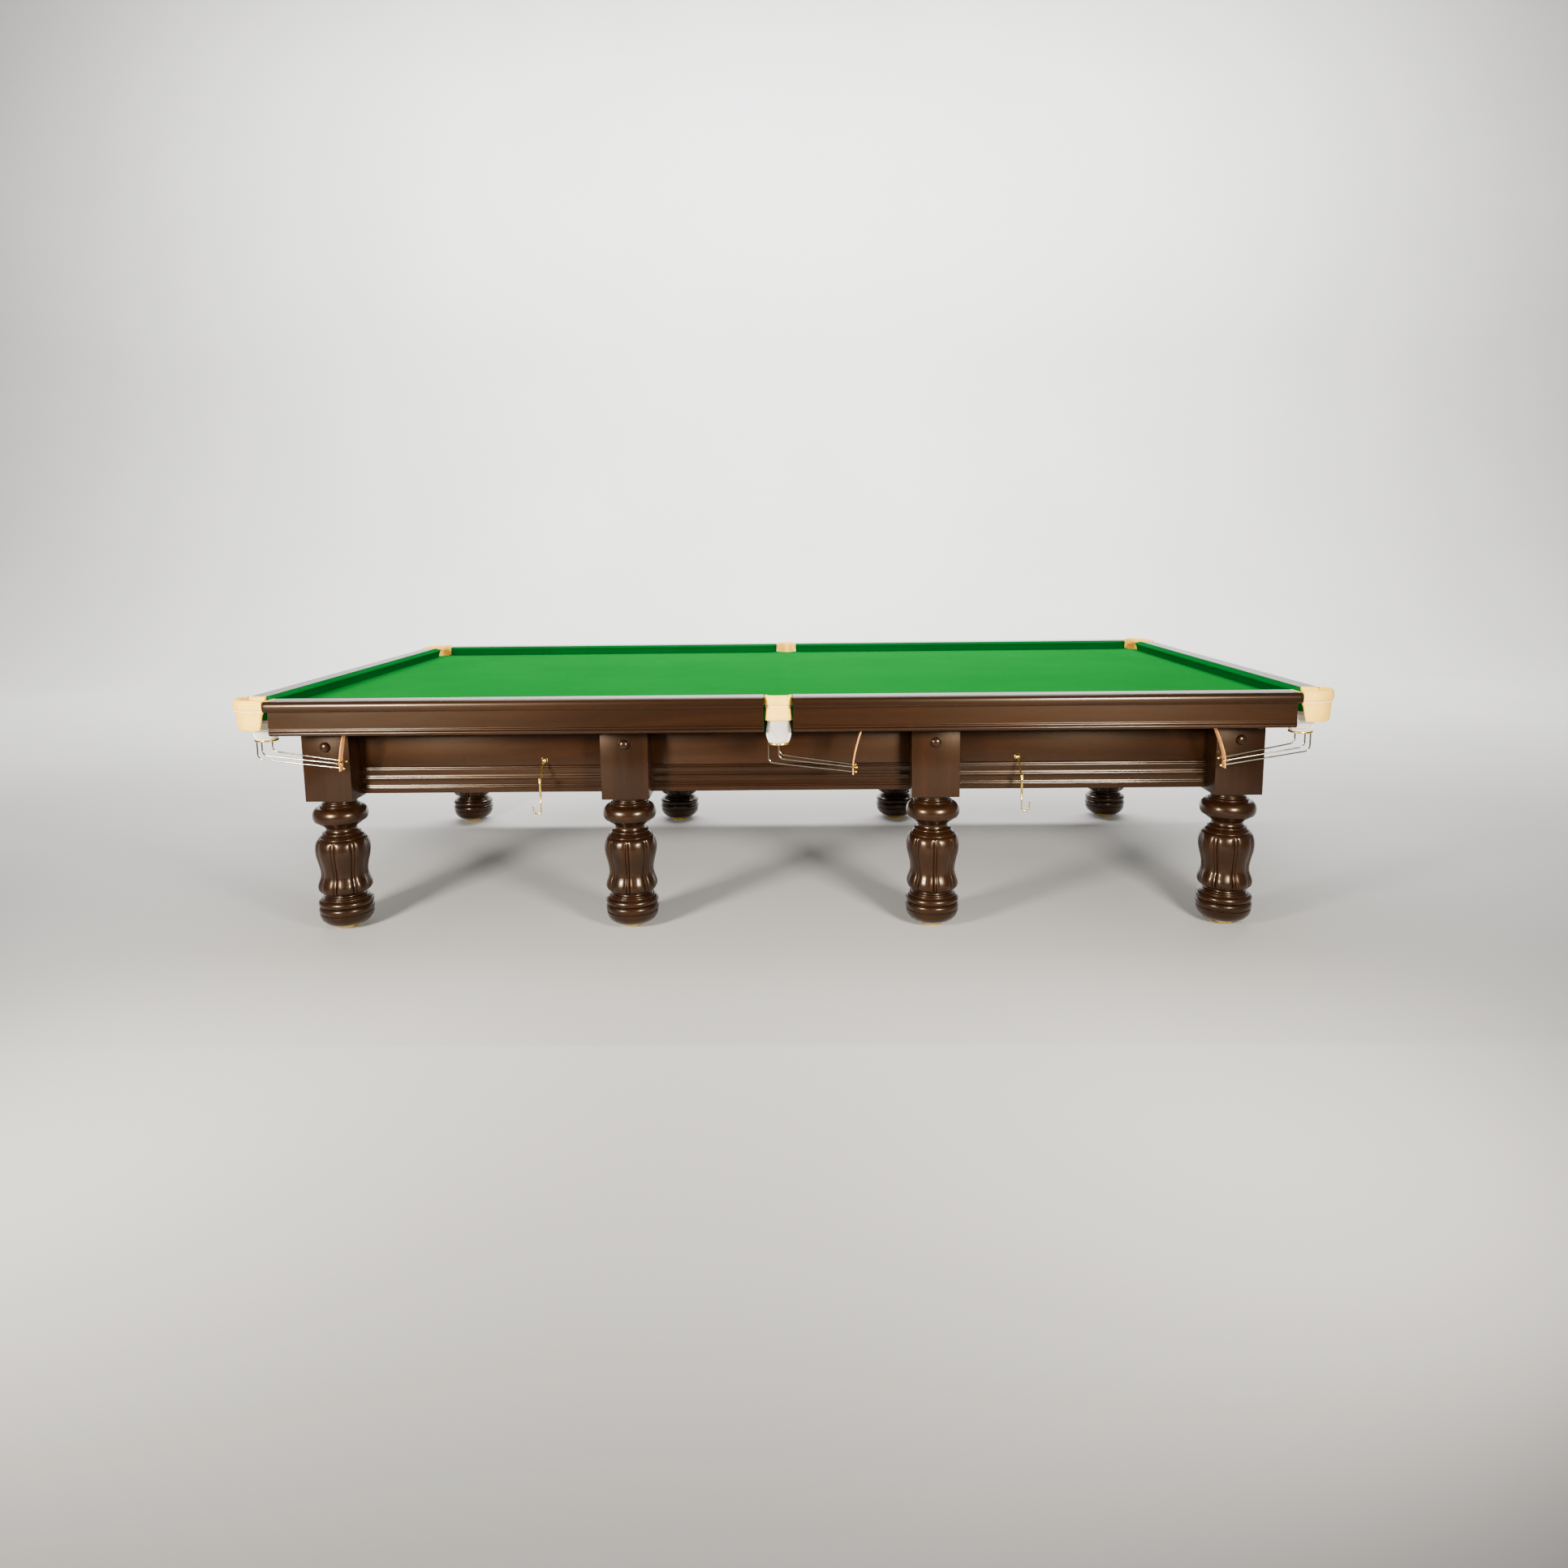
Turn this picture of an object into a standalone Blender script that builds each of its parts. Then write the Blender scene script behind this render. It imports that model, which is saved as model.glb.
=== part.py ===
"""Full-size billiard table: a slate bed on an eight-legged frame, with cushions, pockets and runners.

Metres, +Z up. The origin is on the floor under the middle of the table. X runs along the table.
Pieces are drawn on the front side (-Y) and turned or mirrored to the other sides.
"""

import math

import bmesh
import bpy
from mathutils import Matrix, Vector

# Clearance between pieces that touch
FIT_GAP = 0.0003

# Playing area, between the noses of the cushions
PLAY_LENGTH = 3.569
PLAY_WIDTH = 1.778

# Levelling feet
FOOT_HEIGHT = 0.0135
FOOT_RADIUS = 0.041
FOOT_CHAMFER = 0.004
STEM_RADIUS = 0.012
STEM_LENGTH = 0.055
STEM_CLEARANCE = 0.0004
STEM_TIP_ROOM = 0.003

# Turned legs, from the foot up
LEG_SEAT_RADIUS = 0.046
BASE_LOWER_HEIGHT = 0.047
BASE_LOWER_RADIUS = 0.0960
BASE_GROOVE_HEIGHT = 0.006
BASE_GROOVE_RADIUS = 0.0925
BASE_BAND_HEIGHT = 0.020
BASE_BAND_RADIUS = 0.0970
BASE_UPPER_HEIGHT = 0.036
BASE_UPPER_RADIUS = 0.0975
NECK_RADIUS = 0.068
FLARE_HEIGHT = 0.027
FLARE_RADIUS = 0.0955
WAIST_HEIGHT = 0.053
WAIST_RADIUS = 0.083
BELLY_HEIGHT = 0.088
BELLY_RADIUS = 0.097
SHOULDER_HEIGHT = 0.079
COVE_HEIGHT = 0.011
COVE_RADIUS = 0.0545
BUN_HEIGHT = 0.085
BUN_RADIUS = 0.0975
COLLAR_HEIGHT = 0.026
COLLAR_RADIUS = 0.056
FLUTES = 8
FLUTE_DEPTH = 0.0045

# Leg blocks and their places; the insets are from the nose lines
BLOCK_WIDTH = 0.172
BLOCK_SKIRT = 0.0126
LEG_X_INNER = 0.560
LEG_INSET_X = 0.1445
LEG_INSET_Y = 0.122
COVER_RADIUS = 0.0185
COVER_DEPTH = 0.015
COVER_BELOW_FRAME_TOP = 0.101

# Frame rails and cross bearers
FRAME_HEIGHT = 0.291
FRAME_THICKNESS = 0.045
FRAME_TAIL = 0.060
BEARER_HEIGHT = 0.150
REED_BOARD = 0.004
REED_DEPTH = 0.004
FILLET_HEIGHT = 0.015
LOW_REED_HEIGHT = 0.007
BROAD_REED_RISE = 0.048
BROAD_REED_HEIGHT = 0.014
TOP_REED_RISE = 0.084
TOP_REED_HEIGHT = 0.007

# Slate and cloth
SLATE_THICKNESS = 0.045
SLATE_OVERHANG = 0.058
CLOTH_THICKNESS = 0.003

# Cushion rails
RAIL_REACH = 0.120
RAIL_RISE = 0.040
RAIL_DEPTH = 0.122
NOSING_HEIGHT = 0.037
NOSING_RADIUS = 0.018
NOSING_LIP = 0.006
NOSING_DEPTH = 0.035
NOSING_OVERRUN = 0.014
FASCIA_SETBACK = 0.009
BEAD_HEIGHT = 0.010
BEAD_DEPTH = 0.005
BEAD_FOOT = 0.004

# Cushion noses
NOSE_REACH = 0.045
NOSE_RISE = 0.0335
NOSE_ROUND = 0.003
NOSE_UNDERCUT = 0.014
JAW_DEPTH = 0.031
JAW_MIDDLE_LENGTH = 0.040
JAW_CORNER_LENGTH = 0.085

# Pockets: the centre lies beyond the nose line, and at a corner beyond both lines
CORNER_OFFSET = 0.030
CORNER_CUTBACK = 0.020
MIDDLE_OFFSET = 0.060
MIDDLE_LEATHER_REACH = 0.110
CORNER_LEATHER_REACH = 0.128
LEATHER_RISE = 0.005
ROLL_HEIGHT = 0.040
ROLL_HALF = 0.008
ROLL_ROUND = 0.010
SEAM_OUT = 0.0015
FLAP_THICKNESS = 0.005
CORNER_FLAP_OUT = -0.003
MIDDLE_FLAP_OUT = 0.008
CORNER_FLAP = 0.068
MIDDLE_FLAP = 0.048
FLAP_HEM = 0.004
FLAP_NOTCH = 0.004
FLAP_TRIM = 0.010
ARM_TUCK = 0.008
MIDDLE_SIDE_RUN = 0.012
NET_TOP_RADIUS = 0.0390
NET_BELLY_RADIUS = 0.0425
NET_WALL = 0.002
NET_TUCK = 0.008
CORNER_NET_DROP = 0.045
MIDDLE_NET_DROP = 0.085
HOLE_CLEARANCE = 0.0028

# Runners: a ring under each net, three rods and the strap that holds their far end
RING_RADIUS = 0.0365
RING_WIRE = 0.004
ROD_RADIUS = 0.0028
ROD_BEND = 0.020
SIDE_ROD_DROP = 0.049
LOW_ROD_DROP = 0.070
ROD_FALL = 0.036
SIDE_ROD_SPREAD = 0.023
RUN_LENGTH = 0.258
ROD_TAIL = 0.012
STRAP_WIDTH = 0.028
STRAP_THICKNESS = 0.004
STRAP_HEM = 0.010
STRAP_LEAN = 0.030
FRONT_RIGHT_STRAP_LEAN = 0.060
FRONT_RIGHT_ROD_FALL = 0.050
CROSS_HALF = 0.030

# Hooks on the front frame rail
HOOK_X = 0.868
HOOK_BELOW_FRAME_TOP = 0.174
ROSE_RADIUS = 0.0125
ROSE_DEPTH = 0.006
ARM_REACH = 0.083
ARM_DROP = 0.058
ARM_RADIUS = 0.0032
COLLAR_RING_RADIUS = 0.0065
COLLAR_RING_HEIGHT = 0.012
SWIVEL_CLEARANCE = 0.0003
SHANK_RADIUS = 0.003
SHANK_LENGTH = 0.110
SHANK_HEAD_RADIUS = 0.0055
SHANK_HEAD_HEIGHT = 0.004
SLEEVE_RADIUS = 0.0045
SLEEVE_LENGTH = 0.076
HOOK_BOW_RADIUS = 0.0125
HOOK_TIP_RISE = 0.016

# Facets
LEG_FACETS = 2 * FLUTES
FOOT_FACETS = 12
NET_FACETS = 12
HOLE_FACETS = 24
RING_FACETS = 12
ROD_SIDES = 6
COVER_FACETS = 12

# Places worked out from the sizes above
HALF_LENGTH = PLAY_LENGTH / 2
HALF_WIDTH = PLAY_WIDTH / 2
LEG_X_OUTER = HALF_LENGTH - LEG_INSET_X
LEG_Y = HALF_WIDTH - LEG_INSET_Y
LEG_BOTTOM = FOOT_HEIGHT + FIT_GAP
BASE_TOP = LEG_BOTTOM + BASE_LOWER_HEIGHT + 2 * BASE_GROOVE_HEIGHT + BASE_BAND_HEIGHT + BASE_UPPER_HEIGHT
TULIP_TOP = BASE_TOP + FLARE_HEIGHT + WAIST_HEIGHT + BELLY_HEIGHT + SHOULDER_HEIGHT
BLOCK_BOTTOM = TULIP_TOP + COVE_HEIGHT + BUN_HEIGHT + COLLAR_HEIGHT
FRAME_BOTTOM = BLOCK_BOTTOM + BLOCK_SKIRT
FRAME_TOP = FRAME_BOTTOM + FRAME_HEIGHT
SLATE_BOTTOM = FRAME_TOP + FIT_GAP
SLATE_TOP = SLATE_BOTTOM + SLATE_THICKNESS
CLOTH_BOTTOM = SLATE_TOP + FIT_GAP
BED = CLOTH_BOTTOM + CLOTH_THICKNESS
RAIL_TOP = BED + RAIL_RISE
RAIL_BOTTOM = RAIL_TOP - RAIL_DEPTH
LEATHER_TOP = RAIL_TOP + LEATHER_RISE
SEAM = LEATHER_TOP - ROLL_HEIGHT
CORNER = Vector((HALF_LENGTH + CORNER_OFFSET, -(HALF_WIDTH + CORNER_OFFSET)))
MIDDLE = Vector((0.0, -(HALF_WIDTH + MIDDLE_OFFSET)))
CORNER_RAIL_END = HALF_LENGTH - CORNER_CUTBACK
MIDDLE_LEATHER_RADIUS = MIDDLE_LEATHER_REACH - MIDDLE_OFFSET
MIDDLE_RAIL_END = MIDDLE_LEATHER_RADIUS + FIT_GAP
HOLE_RADIUS = NET_TOP_RADIUS + HOLE_CLEARANCE
SIDE_RAIL_END = HALF_WIDTH - CORNER_CUTBACK

# Finishes: base colour, roughness, metallic
MAHOGANY = ((0.095, 0.034, 0.018, 1.0), 0.25, 0.0)
GREEN_CLOTH = ((0.020, 0.340, 0.045, 1.0), 0.95, 0.0)
SLATE_GREY = ((0.090, 0.095, 0.105, 1.0), 0.80, 0.0)
TAN_LEATHER = ((0.900, 0.640, 0.320, 1.0), 0.55, 0.0)
WHITE_STRING = ((0.850, 0.830, 0.760, 1.0), 0.90, 0.0)
BRASS = ((0.800, 0.560, 0.200, 1.0), 0.25, 1.0)


def clear_scene():
    """Removes whatever the scene already holds."""
    for item in list(bpy.data.objects):
        bpy.data.objects.remove(item, do_unlink=True)


def mesh_of(bm):
    """Turns a bmesh into a mesh with its faces pointing out."""
    bmesh.ops.remove_doubles(bm, verts=bm.verts, dist=1e-6)
    bmesh.ops.recalc_face_normals(bm, faces=bm.faces)
    mesh = bpy.data.meshes.new("shape")
    bm.to_mesh(mesh)
    bm.free()
    return mesh


def stand_in(mesh):
    """A plain object that holds a mesh while it is joined or cut."""
    item = bpy.data.objects.new("tool", mesh)
    bpy.context.collection.objects.link(item)
    return item


def combined(mesh, tools, operation):
    """The mesh with each tool mesh joined on or cut away."""
    item = stand_in(mesh)
    helpers = [stand_in(tool) for tool in tools]
    for helper in helpers:
        helper.hide_render = True
        helper.display_type = "WIRE"
        modifier = item.modifiers.new(operation.lower(), "BOOLEAN")
        modifier.operation = operation
        modifier.solver = "EXACT"
        modifier.object = helper
    seen = item.evaluated_get(bpy.context.evaluated_depsgraph_get())
    result = bpy.data.meshes.new_from_object(seen)
    for used in [item, *helpers]:
        bpy.data.objects.remove(used, do_unlink=True)
    return result


def mirrored(mesh):
    """A copy of the mesh, mirrored left to right."""
    bm = bmesh.new()
    bm.from_mesh(mesh)
    bmesh.ops.scale(bm, verts=bm.verts, vec=(-1, 1, 1))
    bmesh.ops.reverse_faces(bm, faces=bm.faces)
    copy = bpy.data.meshes.new("shape")
    bm.to_mesh(copy)
    bm.free()
    return copy


def place(name, mesh, finish, location=(0, 0, 0), turn=0.0, smooth=False):
    """Makes one named piece of the table, with its own material."""
    mesh = mesh.copy()
    mesh.name = name
    piece = bpy.data.objects.new(name, mesh)
    piece.location = location
    piece.rotation_euler = (0, 0, turn)
    bpy.context.collection.objects.link(piece)
    material = bpy.data.materials.new(name + "_finish")
    material.use_nodes = True
    shader = material.node_tree.nodes["Principled BSDF"]
    shader.inputs["Base Color"].default_value = finish[0]
    shader.inputs["Roughness"].default_value = finish[1]
    shader.inputs["Metallic"].default_value = finish[2]
    mesh.materials.clear()
    mesh.materials.append(material)
    if smooth:
        mesh.shade_smooth()
        mesh.set_sharp_from_angle(angle=math.radians(40))
    return piece


def box(low, high):
    """A rectangular block between two corners."""
    bm = bmesh.new()
    low, high = Vector(low), Vector(high)
    size = Matrix.Diagonal((high - low).to_4d())
    size[3][3] = 1.0
    bmesh.ops.create_cube(bm, size=1.0, matrix=Matrix.Translation((low + high) / 2) @ size)
    return mesh_of(bm)


def turned(profile, facets, closed=False):
    """A solid of revolution about Z from (radius, height) points; a closed profile makes a ring."""
    bm = bmesh.new()
    verts = [bm.verts.new((radius, 0, height)) for radius, height in profile]
    edges = [bm.edges.new(pair) for pair in zip(verts, verts[1:])]
    if closed:
        edges.append(bm.edges.new((verts[-1], verts[0])))
    bmesh.ops.spin(
        bm, geom=verts + edges, cent=(0, 0, 0), axis=(0, 0, 1), angle=math.tau, steps=facets, use_merge=True
    )
    return mesh_of(bm)


def prism(outline, low, high):
    """An outline in plan, raised from one height to another."""
    bm = bmesh.new()
    face = bm.faces.new([bm.verts.new((x, y, low)) for x, y in outline])
    raised = bmesh.ops.extrude_face_region(bm, geom=[face])
    top = [part for part in raised["geom"] if isinstance(part, bmesh.types.BMVert)]
    bmesh.ops.translate(bm, verts=top, vec=(0, 0, high - low))
    return mesh_of(bm)


def loft(sections):
    """A solid through a row of sections with equal numbers of points, closed by its end faces."""
    bm = bmesh.new()
    rows = [[bm.verts.new(point) for point in section] for section in sections]
    for row, following in zip(rows, rows[1:]):
        for i in range(len(row)):
            j = (i + 1) % len(row)
            bm.faces.new((row[i], row[j], following[j], following[i]))
    bm.faces.new(rows[0])
    bm.faces.new(rows[-1])
    return mesh_of(bm)


def rod(points, radius, sides):
    """A round rod along a row of points, with flat ends."""
    curve = bpy.data.curves.new("rod", "CURVE")
    curve.dimensions = "3D"
    curve.bevel_depth = radius
    curve.bevel_resolution = sides // 2 - 2
    curve.use_fill_caps = True
    spline = curve.splines.new("POLY")
    spline.points.add(len(points) - 1)
    for knot, point in zip(spline.points, points):
        knot.co = (*point, 1.0)
    item = stand_in(curve)
    seen = item.evaluated_get(bpy.context.evaluated_depsgraph_get())
    bm = bmesh.new()
    bm.from_mesh(seen.to_mesh())
    bpy.data.objects.remove(item, do_unlink=True)
    return mesh_of(bm)


def rounded_path(corners, radius, steps):
    """A row of points through the corners, with each inner corner rounded off."""
    corners = [Vector(corner) for corner in corners]
    points = [corners[0]]
    for before, corner, after in zip(corners, corners[1:], corners[2:]):
        into = (before - corner).normalized()
        out = (after - corner).normalized()
        half = into.angle(out) / 2
        reach = radius / math.tan(half)
        centre = corner + (into + out).normalized() * radius / math.sin(half)
        start = (corner + into * reach - centre).normalized()
        end = (corner + out * reach - centre).normalized()
        points += [centre + start.slerp(end, k / steps) * radius for k in range(steps + 1)]
    return points + [corners[-1]]


def quarter_out(start, end, steps):
    """A quarter ellipse from start to end that sets off outwards, without its first point."""
    turns = [math.pi / 2 * k / steps for k in range(1, steps + 1)]
    return [
        (start[0] + (end[0] - start[0]) * math.sin(a), start[1] + (end[1] - start[1]) * (1 - math.cos(a)))
        for a in turns
    ]


def quarter_up(start, end, steps):
    """A quarter ellipse from start to end that sets off upwards, without its first point."""
    turns = [math.pi / 2 * k / steps for k in range(1, steps + 1)]
    return [
        (start[0] + (end[0] - start[0]) * (1 - math.cos(a)), start[1] + (end[1] - start[1]) * math.sin(a))
        for a in turns
    ]


def eased(start, end, steps):
    """A gentle S from start to end, without its first point."""
    shares = [k / steps for k in range(1, steps + 1)]
    return [
        (
            start[0] + (end[0] - start[0]) * (1 - math.cos(math.pi * share)) / 2,
            start[1] + (end[1] - start[1]) * share,
        )
        for share in shares
    ]


def leg_profile():
    """The turned leg's outline, from the seat of the foot up into the block."""
    lower = (BASE_LOWER_RADIUS, LEG_BOTTOM + BASE_LOWER_HEIGHT)
    low_groove = (BASE_GROOVE_RADIUS, lower[1] + BASE_GROOVE_HEIGHT / 2)
    band_foot = (BASE_BAND_RADIUS, lower[1] + BASE_GROOVE_HEIGHT)
    band_head = (BASE_BAND_RADIUS, band_foot[1] + BASE_BAND_HEIGHT)
    high_groove = (BASE_GROOVE_RADIUS, band_head[1] + BASE_GROOVE_HEIGHT / 2)
    upper = (BASE_UPPER_RADIUS, band_head[1] + BASE_GROOVE_HEIGHT)
    neck = (NECK_RADIUS, BASE_TOP)
    flare = (FLARE_RADIUS, BASE_TOP + FLARE_HEIGHT)
    waist = (WAIST_RADIUS, flare[1] + WAIST_HEIGHT)
    belly = (BELLY_RADIUS, waist[1] + BELLY_HEIGHT)
    cove = (COVE_RADIUS, TULIP_TOP)
    bun_foot = (COVE_RADIUS, TULIP_TOP + COVE_HEIGHT)
    bun = (BUN_RADIUS, bun_foot[1] + BUN_HEIGHT / 2)
    collar = (COLLAR_RADIUS, bun_foot[1] + BUN_HEIGHT)
    inside = BLOCK_BOTTOM + BLOCK_SKIRT / 2
    points = [(0.0, LEG_BOTTOM), (LEG_SEAT_RADIUS, LEG_BOTTOM)]
    points += quarter_out(points[-1], lower, 3)
    points += [low_groove, band_foot, band_head, high_groove, upper]
    points += quarter_up(upper, neck, 3)
    points += quarter_out(neck, flare, 2)
    points += eased(flare, waist, 2)
    points += eased(waist, belly, 3)
    points += quarter_up(belly, cove, 4)
    points += [bun_foot]
    points += quarter_out(bun_foot, bun, 3)
    points += quarter_up(bun, collar, 3)
    points += [(COLLAR_RADIUS, inside), (0.0, inside)]
    return points


def fluted(mesh):
    """Presses the flutes into the tulip of the leg, between its neck and its shoulder."""
    low = BASE_TOP + FLARE_HEIGHT / 4
    high = TULIP_TOP - SHOULDER_HEIGHT / 4
    step = math.tau / LEG_FACETS
    for vert in mesh.vertices:
        index = round(math.atan2(vert.co.y, vert.co.x) / step)
        if low < vert.co.z < high and index % 2 == 0:
            radius = vert.co.xy.length
            vert.co.xy *= (radius - FLUTE_DEPTH) / radius
    return mesh


def leg_mesh(corner):
    """A front leg about its own axis: turned part, block, bolt cover, rail housings and stem hole."""
    half = BLOCK_WIDTH / 2
    beyond = BLOCK_WIDTH
    body = fluted(turned(leg_profile(), LEG_FACETS))
    block = box((-half, -half, BLOCK_BOTTOM), (half, half, FRAME_TOP))
    cover = turned(
        [
            (0, -COVER_DEPTH),
            (COVER_RADIUS, -COVER_DEPTH),
            (COVER_RADIUS, COVER_DEPTH / 2),
            (COVER_RADIUS * 0.7, COVER_DEPTH),
            (0, COVER_DEPTH),
        ],
        COVER_FACETS,
    )
    cover.transform(Matrix.Rotation(math.pi / 2, 4, "X"))
    cover.transform(Matrix.Translation((0, -half, FRAME_TOP - COVER_BELOW_FRAME_TOP)))
    body = combined(body, [block, cover], "UNION")
    outer_end = FRAME_TAIL + FIT_GAP if corner else beyond
    housing = box(
        (-beyond, -FIT_GAP, FRAME_BOTTOM - FIT_GAP),
        (outer_end, FRAME_THICKNESS + FIT_GAP, FRAME_TOP + beyond),
    )
    if corner:
        sides = (-FRAME_THICKNESS - FIT_GAP, FIT_GAP)
        foot = FRAME_BOTTOM - FIT_GAP
    else:
        sides = (-FRAME_THICKNESS / 2 - FIT_GAP, FRAME_THICKNESS / 2 + FIT_GAP)
        foot = FRAME_TOP - BEARER_HEIGHT - FIT_GAP
    notch = box((sides[0], FRAME_THICKNESS / 2, foot), (sides[1], beyond, FRAME_TOP + beyond))
    hole_top = LEG_BOTTOM + STEM_LENGTH + STEM_TIP_ROOM
    hole_radius = STEM_RADIUS + STEM_CLEARANCE
    hole_bottom = -FOOT_HEIGHT
    hole = turned(
        [(0, hole_bottom), (hole_radius, hole_bottom), (hole_radius, hole_top), (0, hole_top)],
        FOOT_FACETS,
    )
    return combined(body, [housing, notch, hole], "DIFFERENCE")


def foot_mesh():
    """A levelling foot: a brass disc with a stem that screws up into the leg."""
    top = LEG_BOTTOM + STEM_LENGTH
    return turned(
        [
            (0, 0),
            (FOOT_RADIUS - FOOT_CHAMFER, 0),
            (FOOT_RADIUS, FOOT_CHAMFER),
            (FOOT_RADIUS, FOOT_HEIGHT),
            (STEM_RADIUS, FOOT_HEIGHT),
            (STEM_RADIUS, top),
            (0, top),
        ],
        FOOT_FACETS,
    )


def reeds(low, height, count):
    """Half-round reeds on the face of a frame rail, as (depth, height) points from the bottom up."""
    points = []
    for k in range(count):
        foot = low + k * height
        points += [
            (REED_BOARD, foot),
            (REED_BOARD + REED_DEPTH, foot + height * 0.3),
            (REED_BOARD + REED_DEPTH, foot + height * 0.7),
        ]
    return points + [(REED_BOARD, low + count * height)]


def frame_profile():
    """A frame rail's section: depth out from its face, and height. The reeds are on the lower part."""
    fillet = FRAME_BOTTOM + FILLET_HEIGHT
    top_reeds = FRAME_BOTTOM + TOP_REED_RISE
    points = [(-FRAME_THICKNESS, FRAME_TOP), (-FRAME_THICKNESS, FRAME_BOTTOM)]
    points += [(REED_BOARD + REED_DEPTH, FRAME_BOTTOM), (REED_BOARD + REED_DEPTH, fillet)]
    points += reeds(fillet + LOW_REED_HEIGHT / 2, LOW_REED_HEIGHT, 2)
    points += reeds(FRAME_BOTTOM + BROAD_REED_RISE, BROAD_REED_HEIGHT, 1)
    points += reeds(top_reeds, TOP_REED_HEIGHT, 2)
    points += [(0.0, top_reeds + 2 * TOP_REED_HEIGHT), (0.0, FRAME_TOP)]
    return points


def frame_rail_mesh(half_length, offset, blocks):
    """A frame rail in front position. Its reeds stop at the leg blocks, given as spans along it."""
    section = frame_profile()
    rows = [[(x, -offset - depth, z) for depth, z in section] for x in (-half_length, half_length)]
    ahead = -offset - BLOCK_WIDTH
    above = FRAME_TOP + BLOCK_WIDTH
    cuts = [box((low - FIT_GAP, ahead, 0), (high + FIT_GAP, -offset, above)) for low, high in blocks]
    return combined(loft(rows), cuts, "DIFFERENCE")


def block_spans(centres, half_length):
    """Where the leg blocks stand along a frame rail; the outermost run on past its ends."""
    half = BLOCK_WIDTH / 2
    spans = [[centre - half, centre + half] for centre in centres]
    spans[0][0] = -half_length - BLOCK_WIDTH
    spans[-1][1] = half_length + BLOCK_WIDTH
    return spans


def pocket_cutters(low, high):
    """Cutters for the six pockets: round holes that run on outwards past the edge of the bed."""
    beyond = CORNER_LEATHER_REACH * 2
    turns = [math.tau * k / HOLE_FACETS for k in range(HOLE_FACETS)]
    ring = [Vector((HOLE_RADIUS * math.cos(a), HOLE_RADIUS * math.sin(a))) for a in turns]
    inner = 3 * HOLE_FACETS // 4 + 1
    corner = [CORNER + point for point in ring[:inner]]
    corner += [CORNER + Vector(point) for point in ((0, -beyond), (beyond, -beyond), (beyond, 0))]
    run = MIDDLE_SIDE_RUN + FIT_GAP
    wide = MIDDLE_RAIL_END
    slot = [(wide, run), (-wide, run), (-wide, -beyond), (wide, -beyond)]
    right = prism(corner, low, high)
    hole = prism([MIDDLE + point for point in ring], low, high)
    seat = prism([MIDDLE + Vector(point) for point in slot], low, high)
    cutters = [right, mirrored(right), hole, seat]
    for mesh in list(cutters):
        back = mesh.copy()
        back.transform(Matrix.Rotation(math.pi, 4, "Z"))
        cutters.append(back)
    return cutters


def bed_mesh(low, high):
    """A flat bed of slate or cloth with its six pocket holes."""
    half_x = HALF_LENGTH + SLATE_OVERHANG
    half_y = HALF_WIDTH + SLATE_OVERHANG
    margin = high - low
    plate = box((-half_x, -half_y, low), (half_x, half_y, high))
    return combined(plate, pocket_cutters(low - margin, high + margin), "DIFFERENCE")


def rail_profile():
    """A cushion rail's section: reach out from the nose line, and height."""
    face = RAIL_REACH - FASCIA_SETBACK
    inner = SLATE_OVERHANG + FIT_GAP
    back = NOSE_REACH + FIT_GAP
    seat = BED + FIT_GAP
    nosing_foot = RAIL_TOP - NOSING_HEIGHT
    points = [(back, seat), (back, RAIL_TOP), (RAIL_REACH - NOSING_RADIUS, RAIL_TOP)]
    turns = [math.pi / 2 * k / 4 for k in range(1, 5)]
    points += [
        (
            RAIL_REACH - NOSING_RADIUS * (1 - math.sin(a)),
            RAIL_TOP - NOSING_RADIUS * (1 - math.cos(a)),
        )
        for a in turns
    ]
    points += [(RAIL_REACH, nosing_foot + NOSING_LIP), (RAIL_REACH - NOSING_LIP, nosing_foot)]
    points += [(face, nosing_foot)]
    top = RAIL_BOTTOM + BEAD_FOOT + 2 * BEAD_HEIGHT
    for k in range(2):
        head = top - k * BEAD_HEIGHT
        points += [
            (face, head),
            (face + BEAD_DEPTH, head - BEAD_HEIGHT * 0.3),
            (face + BEAD_DEPTH, head - BEAD_HEIGHT * 0.7),
        ]
    points += [(face, RAIL_BOTTOM + BEAD_FOOT), (face, RAIL_BOTTOM), (inner, RAIL_BOTTOM), (inner, seat)]
    return points


def rail_mesh(start, end, offset, ends):
    """A cushion rail in front position. At a corner its nosing runs on past the rest of its end."""
    section = rail_profile()
    low = start - NOSING_OVERRUN if ends[0] == "corner" else start
    high = end + NOSING_OVERRUN if ends[1] == "corner" else end
    beyond = RAIL_REACH
    under = RAIL_TOP - NOSING_HEIGHT + NOSING_LIP / 3
    behind = -(offset + RAIL_REACH - NOSING_DEPTH)
    cuts = []
    for reached, near, far in ((low < start, low - beyond, start), (high > end, end, high + beyond)):
        if reached:
            cuts.append(box((near, -(offset + RAIL_REACH + beyond), 0), (far, -offset + beyond, under)))
            cuts.append(box((near, behind, 0), (far, -offset + beyond, RAIL_TOP + beyond)))
    rail = loft([[(x, -(offset + reach), z) for reach, z in section] for x in (low, high)])
    return combined(rail, cuts, "DIFFERENCE")


def nose_profile():
    """A cushion nose's section: reach out from the nose line, and height."""
    seat = BED + FIT_GAP
    tip = BED + NOSE_RISE
    return [
        (NOSE_REACH, RAIL_TOP),
        (NOSE_ROUND * 2, tip + NOSE_ROUND * 1.5),
        (NOSE_ROUND * 0.3, tip + NOSE_ROUND * 0.7),
        (0.0, tip - NOSE_ROUND * 0.4),
        (NOSE_ROUND * 0.7, tip - NOSE_ROUND * 1.7),
        (NOSE_UNDERCUT, seat),
        (NOSE_REACH, seat),
    ]


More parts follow.
